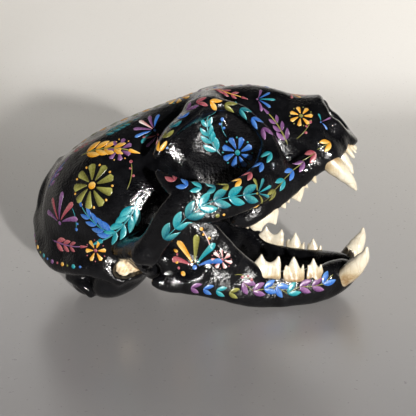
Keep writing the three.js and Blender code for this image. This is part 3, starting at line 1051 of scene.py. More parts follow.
@dataclass(frozen=True)
class GlossBlack(Finish):
    """Black craft paint under a brushed gloss varnish."""

    deep: Point = (0.0012, 0.0012, 0.0015)
    dusty: Point = (0.0042, 0.0043, 0.005)
    gloss: tuple[float, float] = (0.05, 0.12)
    depth: float = 0.00013

    def material(self) -> Material:
        """Returns the paint as a material."""
        made, shader, surface = self.start("gloss_black")
        coat = shader.node("ShaderNodeGroup", node_tree=Groups.brushed_coat())
        shader.put(coat, {"Grit": 1.0, "Drag": 0.5, "Puddle": 1.3})
        shade = shader.span(coat.outputs["Puddle"], 0.35, 0.7, 0.0, 1.0)
        shader.join(shader.mix(shade, self.deep, self.dusty), surface.inputs["Base Color"])
        shader.join(shader.span(coat.outputs["Grit"], *MIDDLE, *self.gloss), surface.inputs["Roughness"])
        self.relief(shader, surface, coat.outputs["Height"], self.depth, 1.0)
        shader.put(surface, {"Specular IOR Level": 0.4})
        return made


@dataclass(frozen=True)
class PatternPaint(Finish):
    """Thick craft paint in many colours, loaded two at a time on the brush and varnished."""

    ground: Point = (0.012, 0.012, 0.014)
    gloss: tuple[float, float] = (0.2, 0.34)
    depth: float = 0.00005

    def material(self) -> Material:
        """Returns the paint as a material."""
        made, shader, surface = self.start("pattern_paint")
        coat = shader.node("ShaderNodeGroup", node_tree=Groups.brushed_coat())
        shader.put(coat, {"Grit": 0.8, "Drag": 0.8, "Puddle": 0.4})
        colour = shader.node("ShaderNodeVertexColor", layer_name="brush_load").outputs["Color"]
        thin = shader.span(coat.outputs["Puddle"], *MIDDLE, 0.84, 1.0)
        shader.join(shader.mix(thin, self.ground, colour), surface.inputs["Base Color"])
        shader.join(shader.span(coat.outputs["Grit"], *MIDDLE, *self.gloss), surface.inputs["Roughness"])
        self.relief(shader, surface, coat.outputs["Height"], self.depth, 1.0)
        shader.put(surface, {"Specular IOR Level": 0.45})
        return made


@dataclass(frozen=True)
class ToothEnamel(Finish):
    """Ivory enamel, yellower and duller towards the root, with fine growth cracks."""

    crown: Point = (0.455, 0.415, 0.33)
    root: Point = (0.34, 0.265, 0.15)
    stain: Point = (0.16, 0.085, 0.03)
    cracking: float = 0.28
    gloss: tuple[float, float] = (0.24, 0.42)
    depth: float = 0.00003

    def material(self) -> Material:
        """Returns the enamel as a material."""
        made, shader, surface = self.start("tooth_enamel")
        grown = shader.node("ShaderNodeGroup", node_tree=Groups.grown_bone())
        shader.put(grown, {"Stain Size": 1.0, "Crack Size": 0.8})
        height = shader.node("ShaderNodeVertexColor", layer_name="root_to_tip").outputs["Color"]
        red = shader.node("ShaderNodeSeparateColor")
        shader.join(height, red.inputs["Color"])
        near_root = shader.span(red.outputs["Red"], 0.05, 0.62, 1.0, 0.0)
        stained = grown.outputs["Stain"]
        mottled = shader.sum("MULTIPLY", near_root, shader.span(stained, 0.0, 1.0, 0.55, 1.15))
        colour = shader.mix(mottled, self.crown, self.root)
        gum = shader.span(red.outputs["Red"], 0.0, 0.26, 0.95, 0.0)
        gum = shader.sum("MULTIPLY", gum, shader.span(stained, 0.0, 1.0, 0.35, 1.0))
        colour = shader.mix(gum, colour, self.stain)
        faint = shader.sum("MULTIPLY", grown.outputs["Cracks"], self.cracking)
        colour = shader.mix(faint, colour, self.stain)
        shader.join(colour, surface.inputs["Base Color"])
        pores = grown.outputs["Pores"]
        shader.join(shader.span(pores, *MIDDLE, *self.gloss), surface.inputs["Roughness"])
        relief = shader.sum("SUBTRACT", shader.sum("MULTIPLY", pores, 0.4), grown.outputs["Cracks"])
        self.relief(shader, surface, relief, self.depth, 0.6)
        glow = {"Weight": 0.12, "Radius": (0.0011, 0.0007, 0.0004), "Scale": 1.0}
        shader.put(surface, {f"Subsurface {name}": value for name, value in glow.items()})
        shader.put(surface, {"Coat Weight": 0.25, "Coat Roughness": 0.16})
        return made


@dataclass(frozen=True)
class BareBone(Finish):
    """Clean unpainted bone, cream with patches of brown."""

    pale: Point = (0.70, 0.60, 0.43)
    tan: Point = (0.40, 0.27, 0.14)
    gloss: tuple[float, float] = (0.42, 0.7)
    depth: float = 0.00006

    def material(self) -> Material:
        """Returns the bone as a material."""
        made, shader, surface = self.start("bare_bone")
        grown = shader.node("ShaderNodeGroup", node_tree=Groups.grown_bone())
        shader.put(grown, {"Stain Size": 0.7, "Crack Size": 1.4})
        shader.join(shader.mix(grown.outputs["Stain"], self.pale, self.tan), surface.inputs["Base Color"])
        shader.join(shader.span(grown.outputs["Pores"], *MIDDLE, *self.gloss), surface.inputs["Roughness"])
        self.relief(shader, surface, grown.outputs["Pores"], self.depth, 0.8)
        shader.put(surface, {"Coat Weight": 0.12, "Coat Roughness": 0.3})
        return made


@dataclass(frozen=True)
class FloorPaper(Finish):
    """Pale, satin, seamless paper whose colour is darkened at the front as painted shade and lightened far
    back as painted light.
    """

    # near and far: the paper's colour at the front and at the back; the darker front is painted shade and the
    # lighter back is painted light.
    near: Point = (0.33, 0.32, 0.325)
    far: Point = (0.90, 0.875, 0.83)
    reach: tuple[float, float] = (-0.06, 0.4)
    gloss: tuple[float, float] = (0.27, 0.33)
    fibre: float = 0.0016
    depth: float = 0.00002

    def material(self) -> Material:
        """Returns the paper as a material."""
        made, shader, surface = self.start("floor_paper")
        place = shader.node("ShaderNodeTexCoord").outputs["Object"]
        apart = shader.node("ShaderNodeSeparateXYZ")
        shader.join(place, apart.inputs[0])
        distance = shader.span(apart.outputs["Y"], *self.reach, 0.0, 1.0)
        fibre = shader.noise(place, self.fibre, 4.0).outputs["Fac"]
        # painted light and shade: the paper's colour runs from dark at the front to light at the back,
        # standing in for how the light falls on it.
        colour = shader.mix(distance, self.near, self.far)
        flecks = shader.span(fibre, *MIDDLE, 0.0, 0.04)
        shader.join(shader.mix(flecks, colour, self.near), surface.inputs["Base Color"])
        shader.join(shader.span(fibre, *MIDDLE, *self.gloss), surface.inputs["Roughness"])
        self.relief(shader, surface, fibre, self.depth, 0.1)
        return made


# ------------------------------------------------------------------ pieces


def make_piece(name: str, points: np.ndarray, faces: Sequence[Sequence[int]], material: Material) -> Piece:
    """Makes a smooth mesh object.

    Args:
        name: The piece's name.
        points: Rows of x, y, z in millimetres, in the skull's frame.
        faces: The vertex indices of each face.
        material: The piece's finish.

    Returns:
        The linked object.
    """
    mesh = bpy.data.meshes.new(name)
    mesh.from_pydata((points * MM).tolist(), [], faces)
    mesh.polygons.foreach_set("use_smooth", [True] * len(mesh.polygons))
    mesh.materials.append(material)
    mesh.update()
    made = bpy.data.objects.new(name, mesh)
    bpy.context.scene.collection.objects.link(made)
    return made


def paint_points(piece: Piece, layer: str, colours: np.ndarray) -> None:
    """Stores a colour on each vertex.

    Args:
        piece: The object.
        layer: The name of the colour layer.
        colours: Rows of red, green and blue.
    """
    stored = piece.data.color_attributes.new(layer, "FLOAT_COLOR", "POINT")
    full = np.ones((len(colours), 4), np.float32)
    full[:, :3] = colours
    stored.data.foreach_set("color", full.ravel())


@dataclass
class Cranium:
    """The head bone in one piece, from the nose to the neck."""

    low: Point = (-36.0, -35.0, -13.0)
    high: Point = (60.0, 35.0, 36.0)
    cell: float = 0.5
    swell: float = 0.1
    swell_length: float = 7.0

    def build(self, material: Material) -> Piece:
        """Builds and dresses the bone.

        Args:
            material: The bone's finish.

        Returns:
            The piece, in place of its CAD node.
        """
        solid = BoneField(self.low, self.high, self.cell * (1.0))
        solid.work(head_steps()[:-1]).ripple(self.swell, self.swell_length, 3).work(head_steps()[-1:])
        points, quads = solid.skin()
        piece = make_piece("skull_bone", BoneFrame.HEAD.place(points), quads.tolist(), material)
        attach(piece, "root")
        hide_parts("cranium")
        LOG.info("skull bone: %d quads", len(quads))
        return piece


@dataclass
class HalfJaw:
    """One half of the lower jaw."""

    side: Side
    low: Point = (-4.0, -1.0, -19.0)
    high: Point = (56.0, 33.0, 17.0)
    cell: float = 0.4
    swell: float = 0.07
    swell_length: float = 5.0

    def build(self, material: Material) -> Piece:
        """Builds and dresses the bone.

        Args:
            material: The bone's finish.

        Returns:
            The piece, in place of its CAD node.
        """
        word = self.side.word
        right = self.side is Side.RIGHT
        low, high = mirrored_box(self.low, self.high) if right else (self.low, self.high)
        solid = BoneField(low, high, self.cell * (1.0))
        solid.work(jaw_steps()[:-2], right).ripple(self.swell, self.swell_length, 5 + self.side.value)
        solid.work(jaw_steps()[-2:], right)
        points, quads = solid.skin()
        piece = make_piece(f"jaw_bone_{word}", BoneFrame.JAW.place(points), quads.tolist(), material)
        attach(piece, "root")
        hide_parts(f"mandible_{word}")
        LOG.info("jaw bone %s: %d quads", word, len(quads))
        return piece


@dataclass
class ToothRow:
    """A set of teeth that share one field, such as a cheek row or a fang."""

    name: str
    steps: list[Step]
    frame: BoneFrame
    low: Point
    high: Point
    root_level: float
    tip_level: float
    node: Optional[str] = None
    mirror: bool = False
    cell: float = 0.22

    def build(self, material: Material) -> Piece:
        """Builds and dresses the teeth.

        Args:
            material: The enamel.

        Returns:
            The piece.
        """
        low, high = mirrored_box(self.low, self.high) if self.mirror else (self.low, self.high)
        solid = BoneField(low, high, self.cell).work(self.steps, self.mirror)
        solid.ripple(0.05, 2.2, 11)
        points, quads = solid.skin()
        rise = np.clip((points[:, 2] - self.root_level) / (self.tip_level - self.root_level), 0, 1)
        piece = make_piece(self.name, self.frame.place(points), quads.tolist(), material)
        paint_points(piece, "root_to_tip", np.repeat(rise[:, None], 3, axis=1))
        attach(piece, "root")
        if self.node:
            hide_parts(self.node)
        LOG.info("%s: %d quads", self.name, len(quads))
        return piece


@dataclass
class EarBone:
    """The bare two-lobed bone that shows in an ear opening."""

    side: Side
    low: Point = (-13.5, 13.0, -4.0)
    high: Point = (-3.5, 20.5, 3.2)
    cell: float = 0.15

    def build(self, material: Material) -> Piece:
        """Builds and dresses the bone.

        Args:
            material: Bare bone.

        Returns:
            The piece.
        """
        word = self.side.word
        right = self.side is Side.RIGHT
        steps = [
            add(Egg((-10.5, 17.6, 0.0), (2.2, 1.8, 2.3), (0, 12, 0)), 0.4),
            add(Egg((-7.0, 17.8, -0.7), (2.9, 1.9, 2.4), (0, 12, 0)), 0.4),
            add(Egg((-8.5, 15.6, -0.6), (4.2, 1.8, 2.8), (0, 10, 0)), 0.4),
        ]
        low, high = mirrored_box(self.low, self.high) if right else (self.low, self.high)
        points, quads = BoneField(low, high, self.cell).work(steps, right).ripple(0.12, 1.4, 21).skin()
        piece = make_piece(f"ear_bone_{word}", BoneFrame.HEAD.place(points), quads.tolist(), material)
        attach(piece, "root")
        LOG.info("ear bone %s: %d quads", word, len(quads))
        return piece


# ------------------------------------------------------------------ painted pattern


class Hue(Enum):
    """Craft paint colours, as linear red, green and blue."""

    TEAL = (0.0, 0.06, 0.085)
    TURQUOISE = (0.0, 0.135, 0.17)
    MINT = (0.07, 0.31, 0.31)
    ROYAL = (0.012, 0.07, 0.27)
    CORNFLOWER = (0.09, 0.21, 0.45)
    PURPLE = (0.08, 0.026, 0.09)
    LILAC = (0.25, 0.13, 0.26)
    ROSE = (0.18, 0.032, 0.047)
    SALMON = (0.39, 0.14, 0.14)
    GOLD = (0.43, 0.185, 0.006)
    CREAM = (0.62, 0.45, 0.16)
    OLIVE = (0.085, 0.082, 0.016)
    LIME = (0.28, 0.28, 0.075)
    WHITE = (0.86, 0.85, 0.81)

    def array(self) -> np.ndarray:
        """Returns the colour as an array."""
        return np.array(self.value)


HuePair = tuple[Hue, Hue]
SEA: HuePair = (Hue.TEAL, Hue.MINT)
WAVE: HuePair = (Hue.TURQUOISE, Hue.MINT)
SKY: HuePair = (Hue.ROYAL, Hue.CORNFLOWER)
DUSK: HuePair = (Hue.PURPLE, Hue.LILAC)
BERRY: HuePair = (Hue.ROSE, Hue.SALMON)
SUN: HuePair = (Hue.GOLD, Hue.CREAM)
MOSS: HuePair = (Hue.OLIVE, Hue.LIME)
SHELL: HuePair = (Hue.SALMON, Hue.WHITE)


class Profile(Enum):
    """How a stroke's width runs from its start to its end."""

    DROP = "drop"
    PETAL = "petal"
    LEAF = "leaf"
    STEM = "stem"
    BEAD = "bead"

    def width(self, t: np.ndarray) -> np.ndarray:
        """Gives the stroke's width along its length.

        Args:
            t: Places from 0 at the start to 1 at the end.

        Returns:
            The part of the full half width at each place.
        """
        if self is Profile.PETAL:
            t = 1 - t
        if self in (Profile.DROP, Profile.PETAL):
            head = np.clip(t / 0.22, 0, 1)
            return np.sqrt(np.maximum(head * (2 - head), 0)) * (0.12 + 0.88 * (1 - t) ** 0.8)
        if self is Profile.LEAF:
            return np.sin(math.pi * np.clip(t, 0.0, 1.0)) ** 0.75
        if self is Profile.STEM:
            return np.clip(t / 0.12, 0.3, 1) * (1 - 0.45 * t)
        return np.sqrt(np.maximum(1 - (2 * t - 1) ** 2, 0))


@dataclass(frozen=True)
class Spot:
    """A place on a bone, with the way out of it and the way ahead along it."""

    place: np.ndarray
    out: np.ndarray
    ahead: np.ndarray

    def turned(self, degrees: float) -> "Spot":
        """Returns the spot looking another way, turned about the way out."""
        angle = math.radians(degrees)
        side = np.cross(self.out, self.ahead)
        return replace(self, ahead=self.ahead * math.cos(angle) + side * math.sin(angle))


class Surface:
    """A finished bone that paint is laid on."""

    def __init__(self, piece: Piece) -> None:
        """Reads the bone's mesh.

        Args:
            piece: The bone.
        """
        mesh = piece.data
        flat = np.empty(len(mesh.vertices) * 3)
        mesh.vertices.foreach_get("co", flat)
        self.points = flat.reshape(-1, 3) / MM
        corners = np.empty(len(mesh.polygons) * 4, np.int32)
        mesh.polygons.foreach_get("vertices", corners)
        self.faces = corners.reshape(-1, 4)
        spans = self.points[self.faces[:, 2]] - self.points[self.faces[:, 0]]
        across = self.points[self.faces[:, 3]] - self.points[self.faces[:, 1]]
        facing = np.cross(spans, across)
        self.normals = np.zeros_like(self.points)
        for corner in range(4):
            for axis in range(3):
                weight = np.bincount(self.faces[:, corner], facing[:, axis], len(self.points))
                self.normals[:, axis] += weight
        self.normals /= np.maximum(np.linalg.norm(self.normals, axis=1), 1e-9)[:, None]
        self.tree = BVHTree.FromPolygons(self.points.tolist(), self.faces.tolist())

    def rest(self, point: np.ndarray) -> tuple[np.ndarray, np.ndarray]:
        """Finds where a point rests on the bone.

        Args:
            point: A point near the bone in millimetres.

        Returns:
            The nearest point of the bone and the smooth way out of it.
        """
        hit, _, index, _ = self.tree.find_nearest(point)
        place = np.array(hit)
        corners = self.faces[index]
        near = 1 / (np.linalg.norm(self.points[corners] - place, axis=1) + 0.05)
        out = near @ self.normals[corners]
        return place, out / np.linalg.norm(out)

    def spot(self, start: np.ndarray, toward: np.ndarray) -> Spot:
        """Stands on the bone and looks along it.

        Args:
            start: A point near the place.
            toward: A point that lies ahead.

        Returns:
            The spot.
        """
        place, out = self.rest(start)
        ahead = np.asarray(toward) - place
        ahead = ahead - out * (ahead @ out)
        return Spot(place, out, ahead / np.linalg.norm(ahead))

    def walk(self, spot: Spot, length: float, bend: float, steps: int) -> list[Spot]:
        """Walks over the bone in a steady curve.

        Args:
            spot: Where the walk starts.
            length: How far it goes in millimetres.
            bend: How many degrees it turns in all.
            steps: How many steps it takes.

        Returns:
            The spots on the way, with the start.
        """
        way = [spot]
        for _ in range(steps):
            here = way[-1].turned(bend / steps)
            place, out = self.rest(here.place + here.ahead * (length / steps))
            ahead = here.ahead - out * (here.ahead @ out)
            way.append(Spot(place, out, ahead / np.linalg.norm(ahead)))
        return way


class Brush:
    """Lays raised strokes of paint on one bone and gathers them into one piece.

    Attributes:
        columns: Where the paint's points lie across a stroke, as parts of its half width.
        roots: Where the stroke's hidden underside lies, in the same way.
        thin, thick, sunk, base: Heights and depths of the paint in millimetres.
        swell: How much higher the paint stands for each millimetre of half width.
        load: The share of the lighter colour at the start, and what length and width add to it.
        streak, grain: How far the colour wanders along a column and from point to point.
        step: The distance between points along a stroke in millimetres.
    """

    columns = np.array([-1.0, -0.72, -0.38, 0.0, 0.38, 0.72, 1.0])
    roots = (0.55, -0.55)
    thin = 0.05
    thick = 0.16
    sunk = 0.04
    base = 0.28
    swell = 0.13
    load = (0.02, 0.5, 0.42)
    streak = (0.82, 1.12)
    grain = (0.95, 1.05)
    step = 0.42

    def __init__(self, surface: Surface, hand: int, seed: int) -> None:
        """Starts with a clean brush.

        Args:
            surface: The bone.
            hand: 1 draws as given, -1 draws each turn the other way.
            seed: Sets the streaks in the paint.
        """
        self.surface = surface
        self.hand = hand
        self.rng = np.random.default_rng(seed)
        self.points: list[np.ndarray] = []
        self.faces: list[tuple[int, ...]] = []
        self.colours: list[np.ndarray] = []

    def stroke(
        self, spot: Spot, length: float, width: float, bend: float, profile: Profile, hues: HuePair
    ) -> list[Spot]:
        """Lays one stroke.

        Args:
            spot: Where it starts and which way it goes.
            length: Its length in millimetres.
            width: Its full width in millimetres.
            bend: How many degrees it curves in all.
            profile: How its width runs.
            hues: Its colour at the start and the lighter one that the brush also holds.

        Returns:
            The spots along its middle.
        """
        steps = max(7, math.ceil(length / self.step))
        way = self.surface.walk(spot, length, bend * self.hand, steps)
        t = np.linspace(0, 1, steps + 1)
        widths = np.maximum(profile.width(t) * width / 2, 0.02)
        self._skin(way, t, widths, hues)
        return way

    def _skin(self, way: list[Spot], t: np.ndarray, widths: np.ndarray, hues: HuePair) -> None:
        """Builds the closed skin of a stroke.

        Args:
            way: The spots along its middle.
            t: The part of the length at each spot.
            widths: The half width at each spot.
            hues: The two colours of the stroke.
        """
        first = len(self.points)
        dark, light = (hue.array() for hue in hues)
        streaks = self.rng.uniform(*self.streak, len(self.columns))
        ring = len(self.columns) + len(self.roots)
        for here, part, half in zip(way, t, widths):
            side = np.cross(here.out, here.ahead) * self.hand
            crown = min(self.thick, self.thin + self.swell * half)
            load = np.clip(self.load[0] + self.load[1] * part + self.load[2] * self.columns, 0, 1)
            for column, amount, streak in zip(self.columns, load, streaks):
                place, out = self.surface.rest(here.place + side * (column * half))
                height = crown * math.sqrt(max(1 - column * column, 0)) - self.sunk
                self.points.append(place + out * height)
                grain = streak * self.rng.uniform(*self.grain)
                self.colours.append(np.clip((dark + (light - dark) * amount) * grain, 0, 1))
            for column in self.roots:
                self.points.append(here.place + side * (column * half) - here.out * self.base)
                self.colours.append(dark)
        for i in range(len(way) - 1):
            for j in range(ring):
                k = (j + 1) % ring
                a, b = first + i * ring, first + (i + 1) * ring
                face = (a + j, a + k, b + k, b + j)
                self.faces.append(face if self.hand > 0 else face[::-1])
        start = tuple(range(first, first + ring))
        stop = tuple(range(first + (len(way) - 1) * ring, first + len(way) * ring))
        self.faces.append(start[::-1] if self.hand > 0 else start)
        self.faces.append(stop if self.hand > 0 else stop[::-1])

    def piece(self, name: str, material: Material) -> Piece:
        """Turns the strokes into one piece.

        Args:
            name: The piece's name.
            material: The pattern's paint.

        Returns:
            The piece.
        """
        made = make_piece(name, np.array(self.points), self.faces, material)
        paint_points(made, "brush_load", np.array(self.colours))
        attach(made, "root")
        LOG.info("%s: %d faces", name, len(self.faces))
        return made


@dataclass
class Motifs:
    """The flowers, leaves and berries that the pattern is made of.

    Attributes:
        brush: The brush that lays them.
        stalk: The width of a thin stalk in millimetres.
        sprig_leaf, garland_leaf: How a leaf leans away from its stem and curls back, in degrees.
        fan: How far a tulip's outer drops lean and curl, in degrees.
    """

    brush: Brush
    stalk = 0.34
    sprig_leaf = (46, 34)
    garland_leaf = (40, 26)
    fan = (62, 26)

    def at(self, point: Point) -> np.ndarray:
        """Moves a right-hand point to the side that is painted."""
        return np.array((point[0], point[1] * self.brush.hand, point[2]))

    def spot(self, start: Point, toward: Point) -> Spot:
        """Finds a spot from a right-hand place and a right-hand point ahead of it."""
        return self.brush.surface.spot(self.at(start), self.at(toward))

    def bead(self, spot: Spot, size: float, hues: HuePair) -> None:
        """Lays a round bead of paint with its middle on the spot."""
        back = self.brush.surface.walk(spot, -size / 2, 0, 2)[-1]
        self.brush.stroke(back, size, size, 0, Profile.BEAD, hues)

    def rosette(self, spot: Spot, size: float, petals: int, hues: HuePair, heart: HuePair) -> None:
        """Lays a flower.

        Args:
            spot: The flower's middle.
            size: Its radius in millimetres.
            petals: How many petals it has.
            hues: The petals' colours.
            heart: The colours of its middle.
        """
        for n in range(petals):
            turned = spot.turned(360 * n / petals)
            start = self.brush.surface.walk(turned, size * 0.24, 0, 2)[-1]
            width = min(1.25 * math.tan(math.pi / petals) * size, size * 0.5)
            self.brush.stroke(start, size * 0.76, width, 10, Profile.PETAL, hues)
        self.bead(spot, size * 0.36, heart)
        for n in range(petals):
            turned = spot.turned(360 * (n + 0.5) / petals)
            self.bead(self.brush.surface.walk(turned, size * 0.92, 0, 3)[-1], size * 0.1 + 0.12, heart)

    def sprig(self, spot: Spot, size: float, pairs: int, bend: float, hues: HuePair, stem: HuePair) -> None:
        """Lays a curved stem with leaves in pairs and a bud at its end.

        Args:
            spot: Where the stem starts.
            size: Its length in millimetres.
            pairs: How many pairs of leaves it has.
            bend: How many degrees it curves.
            hues: The leaves' colours.
            stem: The stem's colours.
        """
        way = self.brush.stroke(spot, size, size * 0.035 + 0.22, bend, Profile.STEM, stem)
        for n in range(pairs):
            here = way[int(len(way) * (0.16 + 0.72 * n / pairs))]
            leaf = size * (0.34 - 0.12 * n / pairs)
            for side in (-1, 1):
                lean, curl = (side * angle for angle in self.sprig_leaf)
                fold = -curl * self.brush.hand
                self.brush.stroke(here.turned(lean), leaf, leaf * 0.42, fold, Profile.LEAF, hues)
        self.brush.stroke(way[-1], size * 0.24, size * 0.11, 0, Profile.DROP, hues)

    def tulip(self, spot: Spot, size: float, hues: Sequence[HuePair]) -> None:
        """Lays a fan of drops that opens ahead, one for each pair of colours.

        Args:
            spot: The foot of the fan.
            size: The length of its middle drop in millimetres.
            hues: The colours of each drop, from one side to the other.
        """
        count = len(hues)
        for n, pair in enumerate(hues):
            part = (n - (count - 1) / 2) / max((count - 1) / 2, 1)
            turned = spot.turned(self.fan[0] * part * self.brush.hand)
            start = self.brush.surface.walk(turned, size * 0.14, 0, 2)[-1]
            reach = size * (1 - 0.22 * abs(part))
            self.brush.stroke(start, reach, size * 0.26, self.fan[1] * part, Profile.PETAL, pair)
        self.bead(spot, size * 0.16, hues[0])

    def berries(self, spot: Spot, size: float, bend: float, hues: HuePair, stem: HuePair) -> None:
        """Lays a thin curved stalk with three berries.

        Args:
            spot: Where the stalk starts.
            size: Its length in millimetres.
            bend: How many degrees it curves.
            hues: The berries' colours.
            stem: The stalk's colours.
        """
        way = self.brush.stroke(spot, size, self.stalk, bend, Profile.STEM, stem)
        for part, lean, scale in ((0.5, -70, 0.9), (0.78, 65, 0.8), (1.0, 0, 1.1)):
            here = way[min(int(len(way) * part), len(way) - 1)].turned(lean)
            self.bead(self.brush.surface.walk(here, 0.55 * scale, 0, 2)[-1], 0.95 * scale, hues)

    def garland(
        self, path: Sequence[Point], gap: float, leaf: float, hues: Sequence[HuePair], stem: Optional[HuePair]
    ) -> None:
        """Lays leaves in pairs along a line on the bone.

        Args:
            path: Right-hand points near the bone along the line.
            gap: The distance between pairs in millimetres.
            leaf: The length of a leaf in millimetres.
            hues: The leaves' colours, in turn.
            stem: The colours of the stem under them, or none.
        """
        line = self._resample(path, gap)
        for n in range(len(line) - 1):
            here = self.brush.surface.spot(line[n], line[n + 1])
            pair = hues[n % len(hues)]
            if stem:
                self.brush.stroke(here, gap * 1.02, self.stalk, 0, Profile.STEM, stem)
            for side in (-1, 1):
                lean, curl = (side * angle for angle in self.garland_leaf)
                fold = -curl * self.brush.hand
                self.brush.stroke(here.turned(lean), leaf, leaf * 0.46, fold, Profile.LEAF, pair)

    def beads(self, path: Sequence[Point], gap: float, size: float, hues: Sequence[HuePair]) -> None:
        """Lays a row of beads along a line on the bone, large and small in turn.

        Args:
            path: Right-hand points near the bone along the line.
            gap: The distance between beads in millimetres.
            size: The size of a large bead in millimetres.
            hues: The beads' colours, in turn.
        """
        line = self._resample(path, gap)
        for n in range(len(line) - 1):
            here = self.brush.surface.spot(line[n], line[n + 1])
            self.bead(here, size * (1.0 if n % 2 == 0 else 0.6), hues[n % len(hues)])

    def _resample(self, path: Sequence[Point], gap: float) -> np.ndarray:
        """Puts even steps on a broken line.

        Args:
            path: The line's right-hand corners.
            gap: The wanted step in millimetres.

        Returns:
            Rows of x, y, z on the side that is painted.
        """
        corners = np.array([self.at(point) for point in path], float)
        lengths = np.concatenate([[0], np.cumsum(np.linalg.norm(np.diff(corners, axis=0), axis=1))])
        count = max(2, round(lengths[-1] / gap) + 1)
        at = np.linspace(0, lengths[-1], count)
        return np.stack([np.interp(at, lengths, corners[:, axis]) for axis in range(3)], 1)


@dataclass
class PaintedPattern:
    """The pattern of one side: every motif's place, size and colours, on the head and on the jaw."""

    side: Side
    head: Piece
    jaw: Piece

    @staticmethod
    def temple(m: Motifs) -> None:
        """Paints the broad side of the braincase.

        Args:
            m: A clean brush on the head bone.
        """
        m.rosette(m.spot((-25.0, -17.6, 34.0), (-20, -18, 36)), 6.4, 9, MOSS, SUN)
        m.sprig(m.spot((-29.5, -9.0, 39.5), (-22.0, -10.5, 44.0)), 14.5, 4, -28, SUN, MOSS)
        m.sprig(m.spot((-12.2, -19.5, 31.5), (-14.0, -20.8, 25.0)), 15.5, 4, -46, WAVE, SEA)
        m.sprig(m.spot((-17.2, -21.4, 21.4), (-24.0, -20.0, 23.0)), 13.0, 4, -36, SKY, SEA)
        m.berries(m.spot((-15.2, -19.6, 33.6), (-12.0, -16.0, 39.5)), 7.5, 40, BERRY, MOSS)
        m.berries(m.spot((-31.0, -17.0, 27.5), (-27.5, -18.5, 23.5)), 5.5, -50, SKY, WAVE)
        m.tulip(m.spot((-34.6, -14.6, 22.5), (-34.4, -14.0, 30.0)), 7.6, (DUSK, BERRY, DUSK, BERRY, DUSK))
        m.sprig(m.spot((-37.2, -12.2, 17.0), (-31.0, -16.4, 15.6)), 10.5, 3, 22, BERRY, DUSK)
        m.rosette(m.spot((-23.6, -19.0, 16.8), (-20.0, -19.6, 17.0)), 3.1, 6, SUN, BERRY)
        m.sprig(m.spot((-40.5, -8.0, 30.5), (-37.0, -9.5, 36.0)), 9.0, 3, 26, DUSK, SKY)
        m.rosette(m.spot((-18.6, -12.6, 43.0), (-14.0, -12.0, 45.0)), 3.6, 7, DUSK, SUN)

    @staticmethod
    def forehead(m: Motifs) -> None:
        """Paints the forehead, roof and brow.

        Args:
            m: A clean brush on the head bone.
        """
        m.tulip(m.spot((-9.6, -10.4, 48.2), (-15.5, -8.0, 49.5)), 5.6, (SKY, DUSK, SHELL, DUSK, SKY, WAVE))
        m.tulip(m.spot((-8.6, -11.6, 47.4), (-8.6, -15.0, 40.5)), 4.6, (BERRY, DUSK, SHELL, SKY, BERRY))
        m.sprig(m.spot((-25.0, -6.2, 45.4), (-18.0, -6.4, 49.5)), 9.5, 4, 16, SEA, MOSS)
        m.sprig(m.spot((-33.6, -5.4, 40.0), (-28.0, -5.4, 44.5)), 7.0, 3, -18, BERRY, MOSS)
        m.rosette(m.spot((-0.6, -7.6, 55.4), (4.0, -7.6, 56.5)), 3.4, 8, SKY, SUN)
        m.sprig(m.spot((4.6, -5.0, 57.4), (11.5, -4.0, 58.0)), 8.6, 3, -20, BERRY, SUN)
        m.berries(m.spot((5.6, -8.6, 56.2), (12.0, -8.6, 56.4)), 6.5, 30, WAVE, MOSS)
        m.tulip(m.spot((17.2, -6.4, 56.0), (23.0, -5.4, 55.6)), 4.2, (DUSK, SKY, WAVE, SKY, DUSK))
        brow = [
            (-5.8, -26.5, 45.3), (-4.7, -24.0, 49.1), (-2.1, -19.0, 52.5), (0.8, -13.6, 55.0),
            (5.5, -12.6, 56.0), (12.4, -12.8, 54.4), (18.3, -14.4, 51.0), (21.4, -16.2, 47.2),
        ]
        m.garland(brow, 3.8, 3.4, (SUN, MOSS, SEA, SKY, DUSK, BERRY), None)
        rim = [
            (21.6, -18.4, 44.2), (18.6, -20.9, 42.3), (15.1, -25.0, 39.6), (10.0, -29.0, 37.6),
            (4.6, -31.8, 37.4), (-0.4, -31.6, 38.9), (-3.4, -30.0, 42.0),
        ]
        m.garland(rim, 3.7, 3.1, (WAVE, SKY, BERRY, SUN, MOSS, SEA), None)

    @staticmethod
    def eye_socket(m: Motifs) -> None:
        """Paints the bowl of the eye socket.

        Args:
            m: A clean brush on the head bone.
        """
        m.rosette(m.spot((12.4, -8.8, 41.6), (14, -9, 46)), 4.4, 8, SKY, WAVE)
        m.sprig(m.spot((8.0, -8.4, 40.6), (2.4, -9.4, 45.6)), 12.0, 4, -58, WAVE, SEA)
        m.berries(m.spot((9.4, -8.8, 45.6), (5.0, -10.0, 50.0)), 4.4, -50, SKY, SEA)

    @staticmethod
    def muzzle(m: Motifs) -> None:
        """Paints the side of the nose and the gum.

        Args:
            m: A clean brush on the head bone.
        """
        m.rosette(m.spot((28.6, -8.6, 51.6), (31.0, -9.0, 52.0)), 3.1, 7, SUN, MOSS)
        m.sprig(m.spot((25.4, -10.6, 44.4), (22.6, -9.6, 52.0)), 9.6, 3, 30, DUSK, MOSS)
        m.berries(m.spot((27.6, -11.0, 46.0), (32.8, -10.4, 49.5)), 5.6, 44, BERRY, MOSS)
        m.tulip(m.spot((33.6, -8.4, 49.8), (37.0, -7.4, 51.5)), 2.8, (SKY, DUSK, WAVE))
        row = [
            (35.6, -10.4, 44.4), (32.0, -13.0, 42.6), (27.9, -14.6, 39.6), (24.1, -17.8, 36.2),
            (20.1, -20.6, 33.2), (16.0, -22.2, 30.4),
        ]
        m.garland(row, 4.1, 3.2, (SUN, BERRY, DUSK, SKY, WAVE, MOSS), MOSS)

